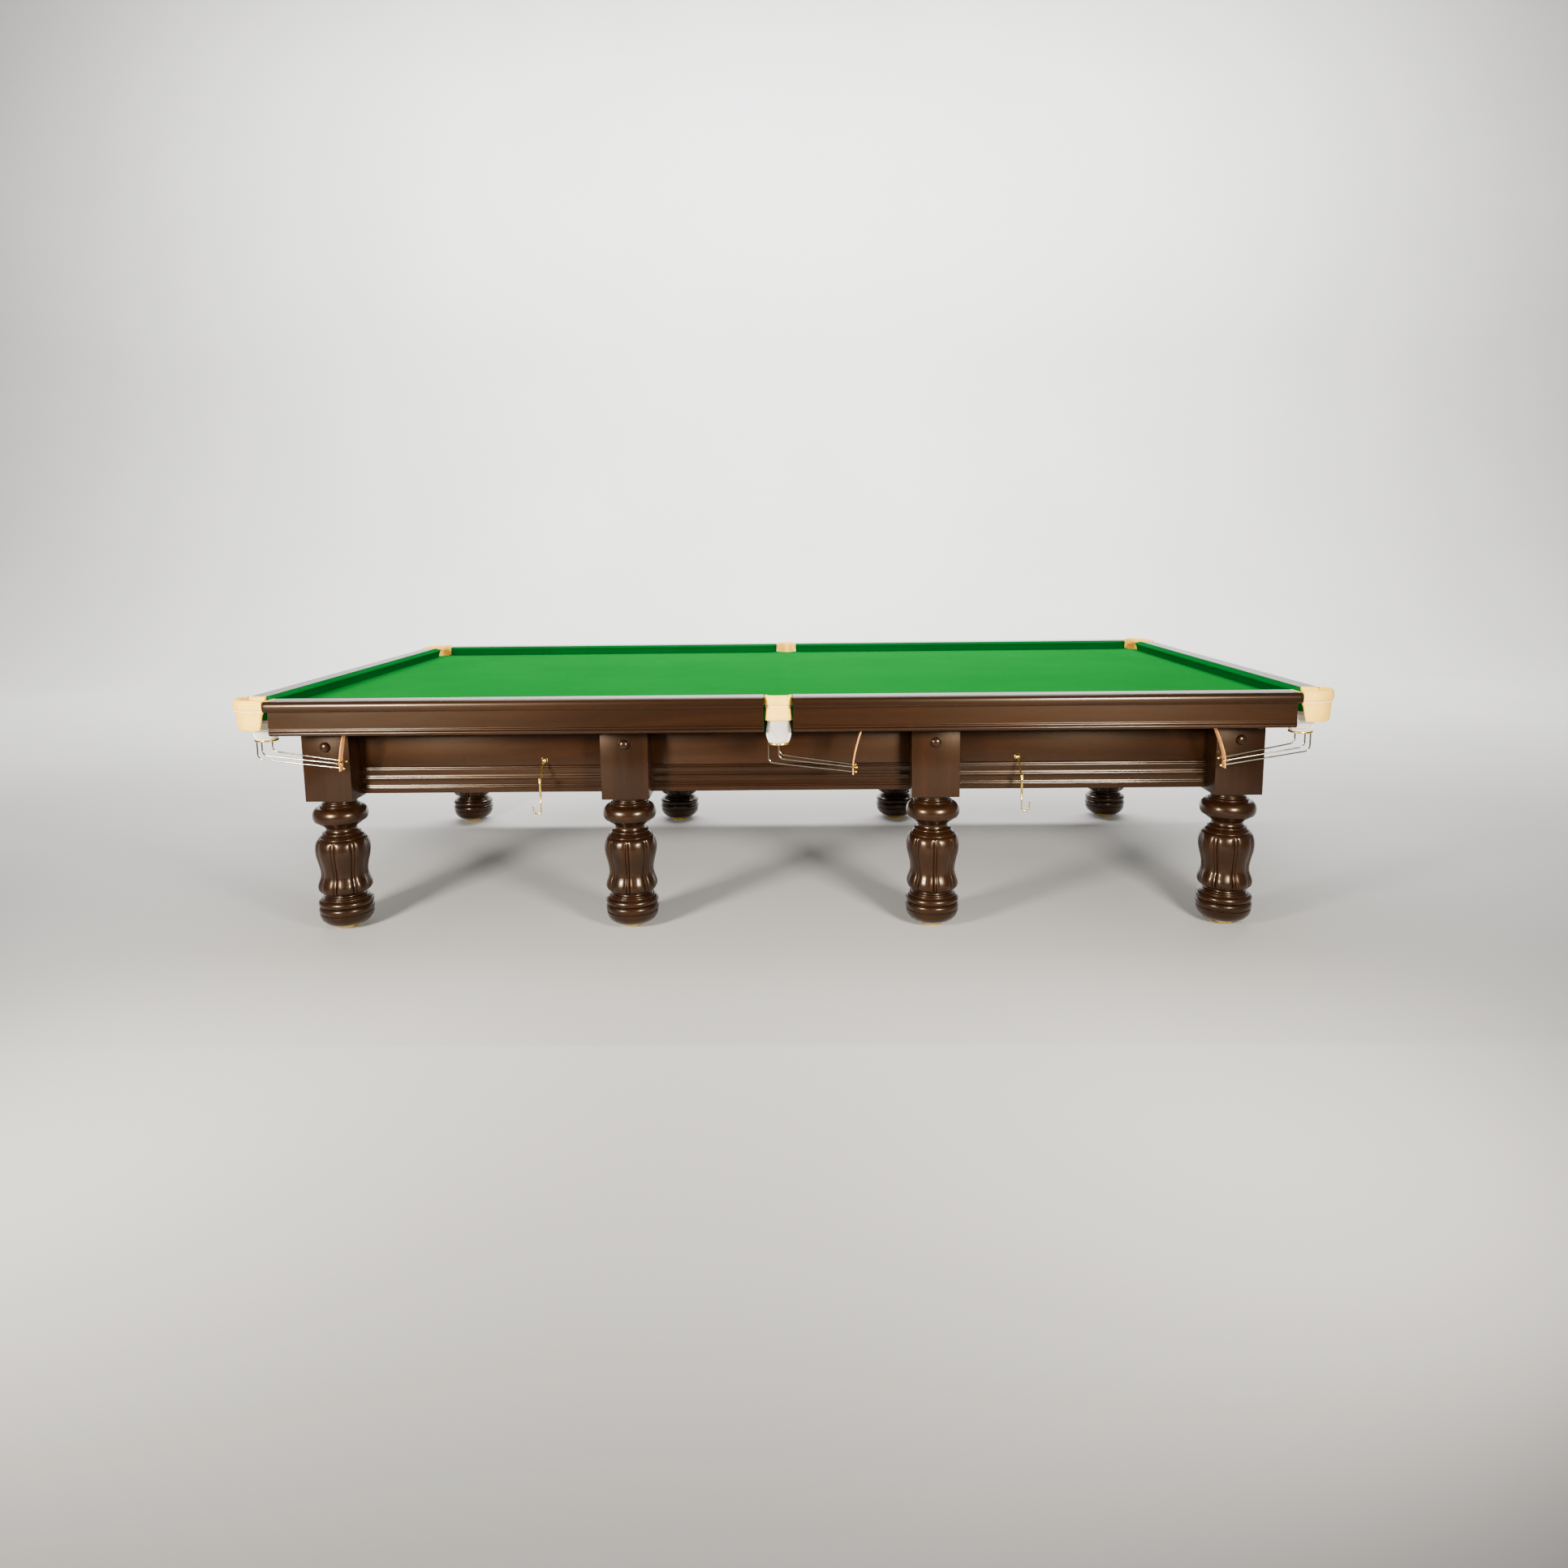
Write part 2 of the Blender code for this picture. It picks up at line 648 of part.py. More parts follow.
def nose_mesh(start, end, offset, start_jaw, end_jaw):
    """A cushion nose in front position. Each end curves back into its pocket over the jaw's length."""
    steps = 4
    turns = [math.pi / 2 * k / steps for k in range(steps + 1)]
    curve = [(1 - math.sin(a), JAW_DEPTH * (1 - math.cos(a))) for a in turns]
    stations = [(start + start_jaw * share, setback) for share, setback in reversed(curve)]
    stations += [(end - end_jaw * share, setback) for share, setback in curve]
    rows = []
    for x, setback in stations:
        share = (NOSE_REACH - setback) / NOSE_REACH
        rows.append([(x, -(offset + setback + reach * share), z) for reach, z in nose_profile()])
    return loft(rows)


def leather_section(flap_bottom, flap_out):
    """A pocket leather's section: distance out from its middle line, and height."""
    return [
        (flap_out, flap_bottom),
        (SEAM_OUT, SEAM),
        (ROLL_HALF, SEAM + ROLL_ROUND),
        (ROLL_HALF, LEATHER_TOP - ROLL_ROUND),
        (ROLL_HALF / 2, LEATHER_TOP - ROLL_ROUND / 4),
        (0.0, LEATHER_TOP),
        (-ROLL_HALF / 2, LEATHER_TOP - ROLL_ROUND / 4),
        (-ROLL_HALF, LEATHER_TOP - ROLL_ROUND),
        (-ROLL_HALF, SEAM + ROLL_ROUND),
        (SEAM_OUT - FLAP_THICKNESS, SEAM),
        (flap_out - FLAP_THICKNESS, flap_bottom),
    ]


def leather_mesh(stations, full_flap, flap_out):
    """A pocket leather along stations of (point, outward direction, flap length)."""
    rows = []
    for point, outward, flap in stations:
        lean = SEAM_OUT + (flap_out - SEAM_OUT) * flap / full_flap
        rows.append([(*(point + outward * out), z) for out, z in leather_section(SEAM - flap, lean)])
    return loft(rows)


def corner_leather_mesh():
    """The front right corner leather: two arms and a round corner, with the flap cut away by the rails."""
    radius = CORNER_LEATHER_REACH - CORNER_OFFSET - ROLL_HALF
    start = CORNER_RAIL_END + NOSING_OVERRUN + FIT_GAP
    arm = CORNER.x - start
    down, across = Vector((0, -1)), Vector((1, 0))
    cut = [(0.0, FLAP_HEM), (FLAP_NOTCH, FLAP_HEM), (FLAP_NOTCH + FLAP_TRIM, CORNER_FLAP)]
    spots = [(arm - run, radius - ARM_TUCK * (1 - run / arm), flap) for run, flap in cut]
    stations = [(CORNER - across * back + down * out, down, flap) for back, out, flap in spots]
    for k in range(9):
        turn = -math.pi / 2 + math.pi / 2 * k / 8
        outward = Vector((math.cos(turn), math.sin(turn)))
        stations.append((CORNER + outward * radius, outward, CORNER_FLAP))
    stations += [(CORNER - down * back + across * out, across, flap) for back, out, flap in reversed(spots)]
    return leather_mesh(stations, CORNER_FLAP, CORNER_FLAP_OUT)


def middle_leather_mesh():
    """The front middle leather: a horseshoe between the ends of two rails."""
    radius = MIDDLE_LEATHER_RADIUS - ROLL_HALF
    inward = Vector((0, MIDDLE_SIDE_RUN))
    stations = []
    for k in range(13):
        turn = -math.pi * k / 12
        outward = Vector((math.cos(turn), math.sin(turn)))
        stations.append((MIDDLE + outward * radius, outward, MIDDLE_FLAP))
    right, left = stations[0], stations[-1]
    stations.insert(0, (right[0] + inward, right[1], MIDDLE_FLAP))
    stations.append((left[0] + inward, left[1], MIDDLE_FLAP))
    return leather_mesh(stations, MIDDLE_FLAP, MIDDLE_FLAP_OUT)


def ring_height(flap, drop):
    """The height of the runner's ring under a net."""
    return SEAM - flap - drop


def net_mesh(flap, drop):
    """A string net as a sleeve, open at both ends: it hangs in the pocket hole and rests on the ring."""
    top = SLATE_TOP - NET_TUCK
    throat = SLATE_BOTTOM - FIT_GAP
    bottom = ring_height(flap, drop) + RING_WIRE + FIT_GAP
    fall = throat - bottom
    outer = [(NET_TOP_RADIUS, top), (NET_TOP_RADIUS, throat), (NET_BELLY_RADIUS, throat - fall / 4)]
    outer += [(NET_BELLY_RADIUS, bottom + fall / 3), (RING_RADIUS, bottom)]
    inner = [(radius - NET_WALL, height) for radius, height in reversed(outer)]
    return turned(outer + inner, NET_FACETS, closed=True)


def runner_mesh(flap, drop, strap_top, lean, fall):
    """A runner about its pocket's centre, running along +X: ring, three rods, cross bar and strap."""
    ring_z = ring_height(flap, drop)
    turns = [math.tau * k / ROD_SIDES for k in range(ROD_SIDES)]
    wire = [(RING_RADIUS + RING_WIRE * math.cos(a), ring_z + RING_WIRE * math.sin(a)) for a in turns]
    ring = turned(wire, RING_FACETS, closed=True)
    end = RUN_LENGTH + ROD_TAIL
    low_z = ring_z - LOW_ROD_DROP
    side_z = ring_z - SIDE_ROD_DROP
    routes = [[(-RING_RADIUS, 0, ring_z), (-RING_RADIUS, 0, low_z), (end, 0, low_z - fall)]]
    for side in (-1, 1):
        routes.append(
            [
                (0, side * RING_RADIUS, ring_z),
                (0, side * RING_RADIUS, side_z),
                (end, side * SIDE_ROD_SPREAD, side_z - fall),
            ]
        )
    rods = [rod(rounded_path(route, ROD_BEND, 3), ROD_RADIUS, ROD_SIDES) for route in routes]
    side_end = side_z - fall * RUN_LENGTH / end
    low_end = low_z - fall * RUN_LENGTH / end
    half = STRAP_THICKNESS / 2
    cross = box(
        (RUN_LENGTH - half, -CROSS_HALF, side_end - ROD_RADIUS * 2),
        (RUN_LENGTH + half, CROSS_HALF, side_end + ROD_RADIUS * 2),
    )
    wide = STRAP_WIDTH / 2
    strap_route = [(RUN_LENGTH, low_end - STRAP_HEM), (RUN_LENGTH, side_end)]
    strap_route += [(RUN_LENGTH + lean, strap_top)]
    rows = []
    for x, z in strap_route:
        rows.append([(x - half, -wide, z), (x + half, -wide, z), (x + half, wide, z), (x - half, wide, z)])
    strap = loft(rows)
    return combined(ring, [*rods, cross, strap], "UNION")


def bracket_mesh():
    """A hook bracket about its rose's centre on the frame rail: rose, curved arm and swivel collar."""
    rose = turned(
        [
            (0, 0),
            (ROSE_RADIUS, 0),
            (ROSE_RADIUS, ROSE_DEPTH / 2),
            (ROSE_RADIUS * 0.6, ROSE_DEPTH),
            (0, ROSE_DEPTH),
        ],
        FOOT_FACETS,
    )
    rose.transform(Matrix.Rotation(math.pi / 2, 4, "X"))
    collar_bottom = -ARM_DROP - COLLAR_RING_HEIGHT / 2
    bore = SHANK_RADIUS + SWIVEL_CLEARANCE
    collar = turned(
        [
            (bore, collar_bottom),
            (COLLAR_RING_RADIUS, collar_bottom),
            (COLLAR_RING_RADIUS, collar_bottom + COLLAR_RING_HEIGHT),
            (bore, collar_bottom + COLLAR_RING_HEIGHT),
        ],
        FOOT_FACETS,
        closed=True,
    )
    collar.transform(Matrix.Translation((0, -ARM_REACH, 0)))
    wall = (bore + COLLAR_RING_RADIUS) / 2
    tip = (0, -ARM_REACH + wall, -ARM_DROP)
    bend = (0, -ARM_REACH + wall * 4, -ARM_DROP)
    knee = (0, -ARM_REACH * 0.35, -ARM_DROP * 0.15)
    route = rounded_path([(0, -ROSE_DEPTH / 2, 0), knee, bend, tip], ROD_BEND / 2, 3)
    arm = rod(route, ARM_RADIUS, ROD_SIDES)
    return combined(rose, [arm, collar], "UNION")


def hook_mesh():
    """A swivel hook about its own axis at the collar: head, shank in a sleeve, and a bow towards +X."""
    head_bottom = COLLAR_RING_HEIGHT / 2 + FIT_GAP
    head = turned(
        [
            (0, head_bottom),
            (SHANK_HEAD_RADIUS, head_bottom),
            (SHANK_HEAD_RADIUS, head_bottom + SHANK_HEAD_HEIGHT),
            (0, head_bottom + SHANK_HEAD_HEIGHT),
        ],
        FOOT_FACETS,
    )
    sleeve_top = -head_bottom
    sleeve_bottom = sleeve_top - SLEEVE_LENGTH
    sleeve = turned(
        [(0, sleeve_bottom), (SLEEVE_RADIUS, sleeve_bottom), (SLEEVE_RADIUS, sleeve_top), (0, sleeve_top)],
        FOOT_FACETS,
    )
    points = [Vector((0, 0, head_bottom + SHANK_HEAD_HEIGHT / 2)), Vector((0, 0, -SHANK_LENGTH))]
    for k in range(1, 7):
        turn = math.pi + math.pi * k / 6
        points.append(
            Vector(
                (
                    HOOK_BOW_RADIUS * (1 + math.cos(turn)),
                    0,
                    -SHANK_LENGTH + HOOK_BOW_RADIUS * math.sin(turn),
                )
            )
        )
    points.append(points[-1] + Vector((HOOK_TIP_RISE / 4, 0, HOOK_TIP_RISE)))
    return combined(rod(points, SHANK_RADIUS, ROD_SIDES), [head, sleeve], "UNION")


def build_legs():
    """Eight legs, counted from the left, with a levelling foot under each."""
    corner_right = leg_mesh(corner=True)
    meshes = [mirrored(corner_right), leg_mesh(corner=False), leg_mesh(corner=False), corner_right]
    foot = foot_mesh()
    centres = (-LEG_X_OUTER, -LEG_X_INNER, LEG_X_INNER, LEG_X_OUTER)
    for k, x in enumerate(centres):
        place(f"leg_front_{k + 1}", meshes[k], MAHOGANY, (x, -LEG_Y, 0), smooth=True)
        place(f"leg_back_{k + 1}", meshes[3 - k], MAHOGANY, (x, LEG_Y, 0), math.pi, smooth=True)
        place(f"foot_front_{k + 1}", foot, BRASS, (x, -LEG_Y, 0), smooth=True)
        place(f"foot_back_{k + 1}", foot, BRASS, (x, LEG_Y, 0), smooth=True)


def build_frame():
    """Long frame rails through the leg blocks, end rails between them, and two cross bearers."""
    long_half = LEG_X_OUTER + FRAME_TAIL
    centres = (-LEG_X_OUTER, -LEG_X_INNER, LEG_X_INNER, LEG_X_OUTER)
    long_rail = frame_rail_mesh(long_half, LEG_Y, block_spans(centres, long_half))
    place("frame_rail_front", long_rail, MAHOGANY)
    place("frame_rail_back", long_rail, MAHOGANY, turn=math.pi)
    short_half = LEG_Y - FRAME_THICKNESS - FIT_GAP
    short_rail = frame_rail_mesh(short_half, LEG_X_OUTER, block_spans((-LEG_Y, LEG_Y), short_half))
    place("frame_rail_right", short_rail, MAHOGANY, turn=math.pi / 2)
    place("frame_rail_left", short_rail, MAHOGANY, turn=-math.pi / 2)
    half = FRAME_THICKNESS / 2
    bearer = box((-half, -short_half, FRAME_TOP - BEARER_HEIGHT), (half, short_half, FRAME_TOP))
    place("cross_bearer_left", bearer, MAHOGANY, (-LEG_X_INNER, 0, 0))
    place("cross_bearer_right", bearer, MAHOGANY, (LEG_X_INNER, 0, 0))


def build_bed():
    """The slate, and the cloth laid over it."""
    place("slate_bed", bed_mesh(SLATE_BOTTOM, SLATE_TOP), SLATE_GREY)
    place("bed_cloth", bed_mesh(CLOTH_BOTTOM, BED), GREEN_CLOTH)


def build_cushions():
    """Six cushion rails and their noses: two on each long side and one on each end."""
    right_span = (MIDDLE_RAIL_END, CORNER_RAIL_END)
    left_span = (-CORNER_RAIL_END, -MIDDLE_RAIL_END)
    end_span = (-SIDE_RAIL_END, SIDE_RAIL_END)
    jaws = {"middle": JAW_MIDDLE_LENGTH, "corner": JAW_CORNER_LENGTH}
    sides = [
        ("front_right", right_span, HALF_WIDTH, ("middle", "corner"), 0),
        ("front_left", left_span, HALF_WIDTH, ("corner", "middle"), 0),
        ("back_left", right_span, HALF_WIDTH, ("middle", "corner"), math.pi),
        ("back_right", left_span, HALF_WIDTH, ("corner", "middle"), math.pi),
        ("right", end_span, HALF_LENGTH, ("corner", "corner"), math.pi / 2),
        ("left", end_span, HALF_LENGTH, ("corner", "corner"), -math.pi / 2),
    ]
    for name, (start, end), offset, ends, turn in sides:
        rail = rail_mesh(start, end, offset, ends)
        nose = nose_mesh(start, end, offset, jaws[ends[0]], jaws[ends[1]])
        place("cushion_rail_" + name, rail, MAHOGANY, turn=turn, smooth=True)
        place("cushion_nose_" + name, nose, GREEN_CLOTH, turn=turn, smooth=True)


def build_pockets():
    """Six pockets, each with its leather, net and runner."""
    corner_leather = corner_leather_mesh()
    middle_leather = middle_leather_mesh()
    corner_net = net_mesh(CORNER_FLAP, CORNER_NET_DROP)
    middle_net = net_mesh(MIDDLE_FLAP, MIDDLE_NET_DROP)
    strap_top = SLATE_BOTTOM - FIT_GAP
    front_strap = (strap_top, FRONT_RIGHT_STRAP_LEAN, FRONT_RIGHT_ROD_FALL)
    corner_runner = runner_mesh(CORNER_FLAP, CORNER_NET_DROP, strap_top, STRAP_LEAN, ROD_FALL)
    front_runner = mirrored(runner_mesh(CORNER_FLAP, CORNER_NET_DROP, *front_strap))
    middle_runner = runner_mesh(MIDDLE_FLAP, MIDDLE_NET_DROP, RAIL_BOTTOM - FIT_GAP, STRAP_LEAN, ROD_FALL)
    left_leather = mirrored(corner_leather)
    right_runner = mirrored(corner_runner)
    pockets = [
        ("front_right", corner_leather, corner_net, front_runner, CORNER, 0),
        ("front_left", left_leather, corner_net, corner_runner, Vector((-CORNER.x, CORNER.y)), 0),
        ("front_middle", middle_leather, middle_net, middle_runner, MIDDLE, 0),
        ("back_left", corner_leather, corner_net, right_runner, -CORNER, math.pi),
        ("back_right", left_leather, corner_net, corner_runner, Vector((CORNER.x, -CORNER.y)), math.pi),
        ("back_middle", middle_leather, middle_net, middle_runner, -MIDDLE, math.pi),
    ]
    for name, leather, net, runner, centre, turn in pockets:
        spot = (centre.x, centre.y, 0)
        place("pocket_leather_" + name, leather, TAN_LEATHER, turn=turn, smooth=True)
        place("pocket_net_" + name, net, WHITE_STRING, spot, turn, smooth=True)
        place("pocket_runner_" + name, runner, BRASS, spot, turn, smooth=True)


def build_hooks():
    """Two swivel hooks on the front frame rail, opening outwards."""
    bracket = bracket_mesh()
    hook = hook_mesh()
    rose_z = FRAME_TOP - HOOK_BELOW_FRAME_TOP
    face = -LEG_Y - FIT_GAP
    for name, side, shape in (("left", -1, mirrored(hook)), ("right", 1, hook)):
        place("hook_bracket_" + name, bracket, BRASS, (side * HOOK_X, face, rose_z), smooth=True)
        axis = (side * HOOK_X, face - ARM_REACH, rose_z - ARM_DROP)
        place("hook_" + name, shape, BRASS, axis, smooth=True)


clear_scene()
build_legs()
build_frame()
build_bed()
build_cushions()
build_pockets()
build_hooks()
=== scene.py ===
import math

import bmesh
import bpy
from mathutils import Matrix, Vector


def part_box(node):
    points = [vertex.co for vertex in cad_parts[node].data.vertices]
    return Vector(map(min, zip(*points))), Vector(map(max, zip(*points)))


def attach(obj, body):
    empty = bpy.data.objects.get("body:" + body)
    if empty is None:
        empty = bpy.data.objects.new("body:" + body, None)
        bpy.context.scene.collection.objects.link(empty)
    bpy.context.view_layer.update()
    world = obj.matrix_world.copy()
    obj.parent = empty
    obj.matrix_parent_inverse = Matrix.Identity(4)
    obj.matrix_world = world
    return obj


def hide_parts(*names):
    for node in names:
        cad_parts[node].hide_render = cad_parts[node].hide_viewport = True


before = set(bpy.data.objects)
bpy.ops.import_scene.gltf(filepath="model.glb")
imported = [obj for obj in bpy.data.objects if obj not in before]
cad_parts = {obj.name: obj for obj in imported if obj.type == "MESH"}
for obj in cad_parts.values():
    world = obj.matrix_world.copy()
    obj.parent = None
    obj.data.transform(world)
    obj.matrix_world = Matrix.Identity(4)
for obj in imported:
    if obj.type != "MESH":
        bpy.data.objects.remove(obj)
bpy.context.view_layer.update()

# Brass feet. A turned disc stands under each leg, and its threaded stem screws up into the leg to
# level the table. They are lathe work in solid brass, polished and a little dulled by handling.
FOOT_RADIUS = 0.041
FOOT_HEIGHT = 0.0135
STEM_CORE = 0.0106
STEM_CREST = 0.0119
THREAD_PITCH = 0.0025
STEM_TOP = 0.0688
STEM_PLAIN_END = 0.003
FOOT_STEPS = 56
MERGE_DISTANCE = 0.00001


def new_finish(name, settings):
    """A material whose shader has these plain values, with its node tree and shader."""
    material = bpy.data.materials.new(name)
    material.use_nodes = True
    tree = material.node_tree
    shader = tree.nodes["Principled BSDF"]
    for socket, value in settings.items():
        shader.inputs[socket].default_value = value
    return material, tree, shader


def add_node(tree, kind, values=(), **settings):
    """One node of a finish, with its settings and its input values."""
    node = tree.nodes.new("ShaderNode" + kind)
    for key, value in settings.items():
        setattr(node, key, value)
    for socket, value in dict(values).items():
        node.inputs[socket].default_value = value
    return node


def pattern_space(tree, scale):
    """The piece's own coordinates, scaled to stretch a pattern along one way."""
    place = add_node(tree, "TexCoord")
    mapping = add_node(tree, "Mapping", {"Scale": scale})
    tree.links.new(place.outputs["Object"], mapping.inputs["Vector"])
    return mapping.outputs["Vector"]


def noise(tree, space, scale, detail, roughness=0.5, distortion=0.0):
    """A cloudy pattern from 0 to 1."""
    node = add_node(
        tree,
        "TexNoise",
        {"Scale": scale, "Detail": detail, "Roughness": roughness, "Distortion": distortion},
    )
    tree.links.new(space, node.inputs["Vector"])
    return node.outputs["Fac"]


def ramp(tree, factor, stops):
    """Colours or greys along a pattern, from (place, colour) stops."""
    node = add_node(tree, "ValToRGB")
    elements = node.color_ramp.elements
    while len(elements) < len(stops):
        elements.new(0.5)
    for element, (place, colour) in zip(elements, stops):
        element.position = place
        element.color = (*colour, 1.0)
    tree.links.new(factor, node.inputs["Fac"])
    return node.outputs["Color"]


def grey(value):
    """A grey for a roughness or a height."""
    return (value, value, value)


def patterned(tree, shader, socket, factor, stops):
    """Lets a pattern set the shader's colour or roughness, through a ramp."""
    tree.links.new(ramp(tree, factor, stops), shader.inputs[socket])


def raise_grain(tree, shader, height, distance, strength):
    """Lets a pattern stand up from the surface."""
    bump = add_node(tree, "Bump", {"Distance": distance, "Strength": strength})
    tree.links.new(height, bump.inputs["Height"])
    tree.links.new(bump.outputs["Normal"], shader.inputs["Normal"])


def brass_finish(name, light, dark):
    """Polished brass with cloudy tarnish and fine turning scratches."""
    material, tree, shader = new_finish(name, {"Metallic": 1.0, "Specular IOR Level": 0.5})
    clouds = noise(tree, pattern_space(tree, (1, 1, 1)), 55.0, 5.0, 0.6)
    lines = noise(tree, pattern_space(tree, (60, 60, 900)), 2.0, 2.0)
    patterned(tree, shader, "Base Color", clouds, [(0.30, dark), (0.62, light)])
    patterned(tree, shader, "Roughness", clouds, [(0.25, grey(0.34)), (0.7, grey(0.16))])
    raise_grain(tree, shader, lines, 0.0002, 0.12)
    return material


def turned(bm, profile, steps):
    """Spins (radius, height) points about Z, as a lathe does."""
    verts = [bm.verts.new((radius, 0, height)) for radius, height in profile]
    edges = [bm.edges.new(pair) for pair in zip(verts, verts[1:])]
    bmesh.ops.spin(
        bm, geom=verts + edges, cent=(0, 0, 0), axis=(0, 0, 1), angle=math.tau, steps=steps, use_merge=True
    )


def merged(bm):
    """Joins the points that lie together, as where a spin comes round to its start."""
    bmesh.ops.remove_doubles(bm, verts=bm.verts, dist=MERGE_DISTANCE)


def settle(bm, move):
    """Moves a shape to its place on the table."""
    bmesh.ops.transform(bm, matrix=move, verts=bm.verts)


def finished(bm, name, material, body="table", nodes=(), crease=35):
    """Closes a shape, gives it its finish, and fixes it to the body that it moves with."""
    merged(bm)
    bmesh.ops.recalc_face_normals(bm, faces=bm.faces)
    mesh = bpy.data.meshes.new(name)
    bm.to_mesh(mesh)
    bm.free()
    mesh.shade_smooth()
    mesh.set_sharp_from_angle(angle=math.radians(crease))
    mesh.materials.append(material)
    piece = bpy.data.objects.new(name, mesh)
    bpy.context.collection.objects.link(piece)
    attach(piece, body)
    if nodes:
        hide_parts(*nodes)
    return piece


brass = brass_finish("polished_brass", (0.92, 0.65, 0.155), (0.62, 0.40, 0.075))
foot_profile = [
    (0, 0.0006),
    (0.030, 0.0006),
    (0.031, 0),
    (FOOT_RADIUS - 0.0035, 0),
    (FOOT_RADIUS - 0.0010, 0.0012),
    (FOOT_RADIUS, 0.0036),
    (FOOT_RADIUS, FOOT_HEIGHT - 0.0014),
    (FOOT_RADIUS - 0.0006, FOOT_HEIGHT - 0.0004),
    (FOOT_RADIUS - 0.0016, FOOT_HEIGHT),
    (STEM_CREST, FOOT_HEIGHT),
]
turns = int((STEM_TOP - FOOT_HEIGHT - STEM_PLAIN_END) / THREAD_PITCH)
for turn in range(turns):
    foot_profile.append((STEM_CORE, FOOT_HEIGHT + (turn + 0.5) * THREAD_PITCH))
    foot_profile.append((STEM_CREST, FOOT_HEIGHT + (turn + 1.0) * THREAD_PITCH))
foot_profile += [(STEM_CORE, STEM_TOP), (0, STEM_TOP)]
leg_names = [f"{side}_{count}" for side in ("front", "back") for count in (1, 2, 3, 4)]
leg_places = {}
for name in leg_names:
    low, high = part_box("foot_" + name)
    leg_places[name] = Vector(((low[0] + high[0]) / 2, (low[1] + high[1]) / 2, 0))
    bm = bmesh.new()
    turned(bm, foot_profile, FOOT_STEPS)
    settle(bm, Matrix.Translation(leg_places[name]))
    finished(bm, "brass_foot_" + name, brass, "foot_" + name, ["foot_" + name], crease=30)

# Turned legs. Each is one mahogany post: a bowl-shaped base with rings, a tulip with eight carved
# petals, a bun under two rings, and a square block with a turned knob over the frame bolt.
STEM_HOLE = 0.0124
STEM_HOLE_TOP = 0.0718
LEG_BOTTOM = 0.0138
LEG_STEPS = 192
PETAL_SPREAD = 45
PETAL_FOOT = 0.1365
PETAL_HEAD = 0.3440
BLOCK_WIDTH = 0.172
BLOCK_BOTTOM = 0.4978
BLOCK_GAP = 0.0002
BLOCK_ROUND = 0.0022
FRAME_TOP = 0.8014
KNOB_RADIUS = 0.0185
KNOB_DEPTH = 0.0148
KNOB_HEIGHT = 0.7004
KNOB_STEPS = 40


def darkened(tree, colour, shade, amount):
    """A colour with a grey pattern multiplied into it, by this much."""
    node = add_node(tree, "Mix", {"Factor": amount}, data_type="RGBA", blend_type="MULTIPLY")
    tree.links.new(colour, node.inputs["A"])
    tree.links.new(shade, node.inputs["B"])
    return node.outputs["Result"]


def mahogany_finish(name, stretch, dark, mid, light):
    """French-polished mahogany: ribbon figure, fine streaks and short dark pores along the grain."""
    material, tree, shader = new_finish(
        name,
        {
            "Specular IOR Level": 0.30,
            "Specular Tint": (1.0, 0.76, 0.54, 1.0),
            "Coat Weight": 0.22,
            "Coat Roughness": 0.12,
            "Coat IOR": 1.5,
        },
    )
    along = pattern_space(tree, stretch)
    figure = noise(tree, along, 0.55, 6.0, 0.62, 0.8)
    streaks = noise(tree, along, 5.5, 6.0, 0.65, 0.3)
    pores = noise(tree, along, 26.0, 2.0, 0.5)
    colour = ramp(tree, figure, [(0.28, dark), (0.50, mid), (0.74, light)])
    shade = ramp(tree, streaks, [(0.30, grey(0.62)), (0.62, grey(1.0))])
    pits = ramp(tree, pores, [(0.30, grey(0.35)), (0.42, grey(1.0))])
    streaked = darkened(tree, colour, shade, 0.75)
    pitted = darkened(tree, streaked, pits, 0.6)
    tree.links.new(pitted, shader.inputs["Base Color"])
    patterned(tree, shader, "Roughness", streaks, [(0.2, grey(0.32)), (0.8, grey(0.26))])
    raise_grain(tree, shader, pits, 0.0001, 0.03)
    return material


def swell(centre, wide, tall, start, end, steps):
    """Part of an ellipse round a centre, from one angle in degrees to another."""
    turn = [math.radians(start + (end - start) * step / steps) for step in range(steps + 1)]
    return [(centre[0] + wide * math.cos(a), centre[1] + tall * math.sin(a)) for a in turn]


def quarter_out(start, end, steps):
    """A quarter ellipse that sets off outwards, without its first point."""
    wide, tall = end[0] - start[0], end[1] - start[1]
    return swell((start[0], end[1]), wide, -tall, 90, 0, steps)[1:]


def quarter_up(start, end, steps):
    """A quarter ellipse that sets off upwards, without its first point."""
    wide, tall = end[0] - start[0], end[1] - start[1]
    return swell((end[0], start[1]), -wide, tall, 0, 90, steps)[1:]


def eased(start, end, steps):
    """A gentle S, without its first point."""
    shares = [step / steps for step in range(1, steps + 1)]
    wide, tall = end[0] - start[0], end[1] - start[1]
    return [(start[0] + wide * (1 - math.cos(math.pi * s)) / 2, start[1] + tall * s) for s in shares]


def joined(bm, part, move):
    """Adds a part that was shaped by itself to a piece, at its place."""
    settle(part, move)
    mesh = bpy.data.meshes.new("part")
    part.to_mesh(mesh)
    part.free()
    bm.from_mesh(mesh)
    bpy.data.meshes.remove(mesh)


def rounded(bm, edges, offset, segments, clamp=False):
    """Rounds these edges over, with so many faces to each."""
    bmesh.ops.bevel(
        bm,
        geom=edges,
        offset=offset,
        offset_type="OFFSET",
        affect="EDGES",
        segments=segments,
        profile=0.5,
        material=-1,
        clamp_overlap=clamp,
    )


def along_curve(points, place):
    """The height of a curve of straight pieces at a place along it."""
    for (x0, y0), (x1, y1) in zip(points, points[1:]):
        if place <= x1:
            return y0 + (y1 - y0) * (place - x0) / (x1 - x0)
    return points[-1][1]


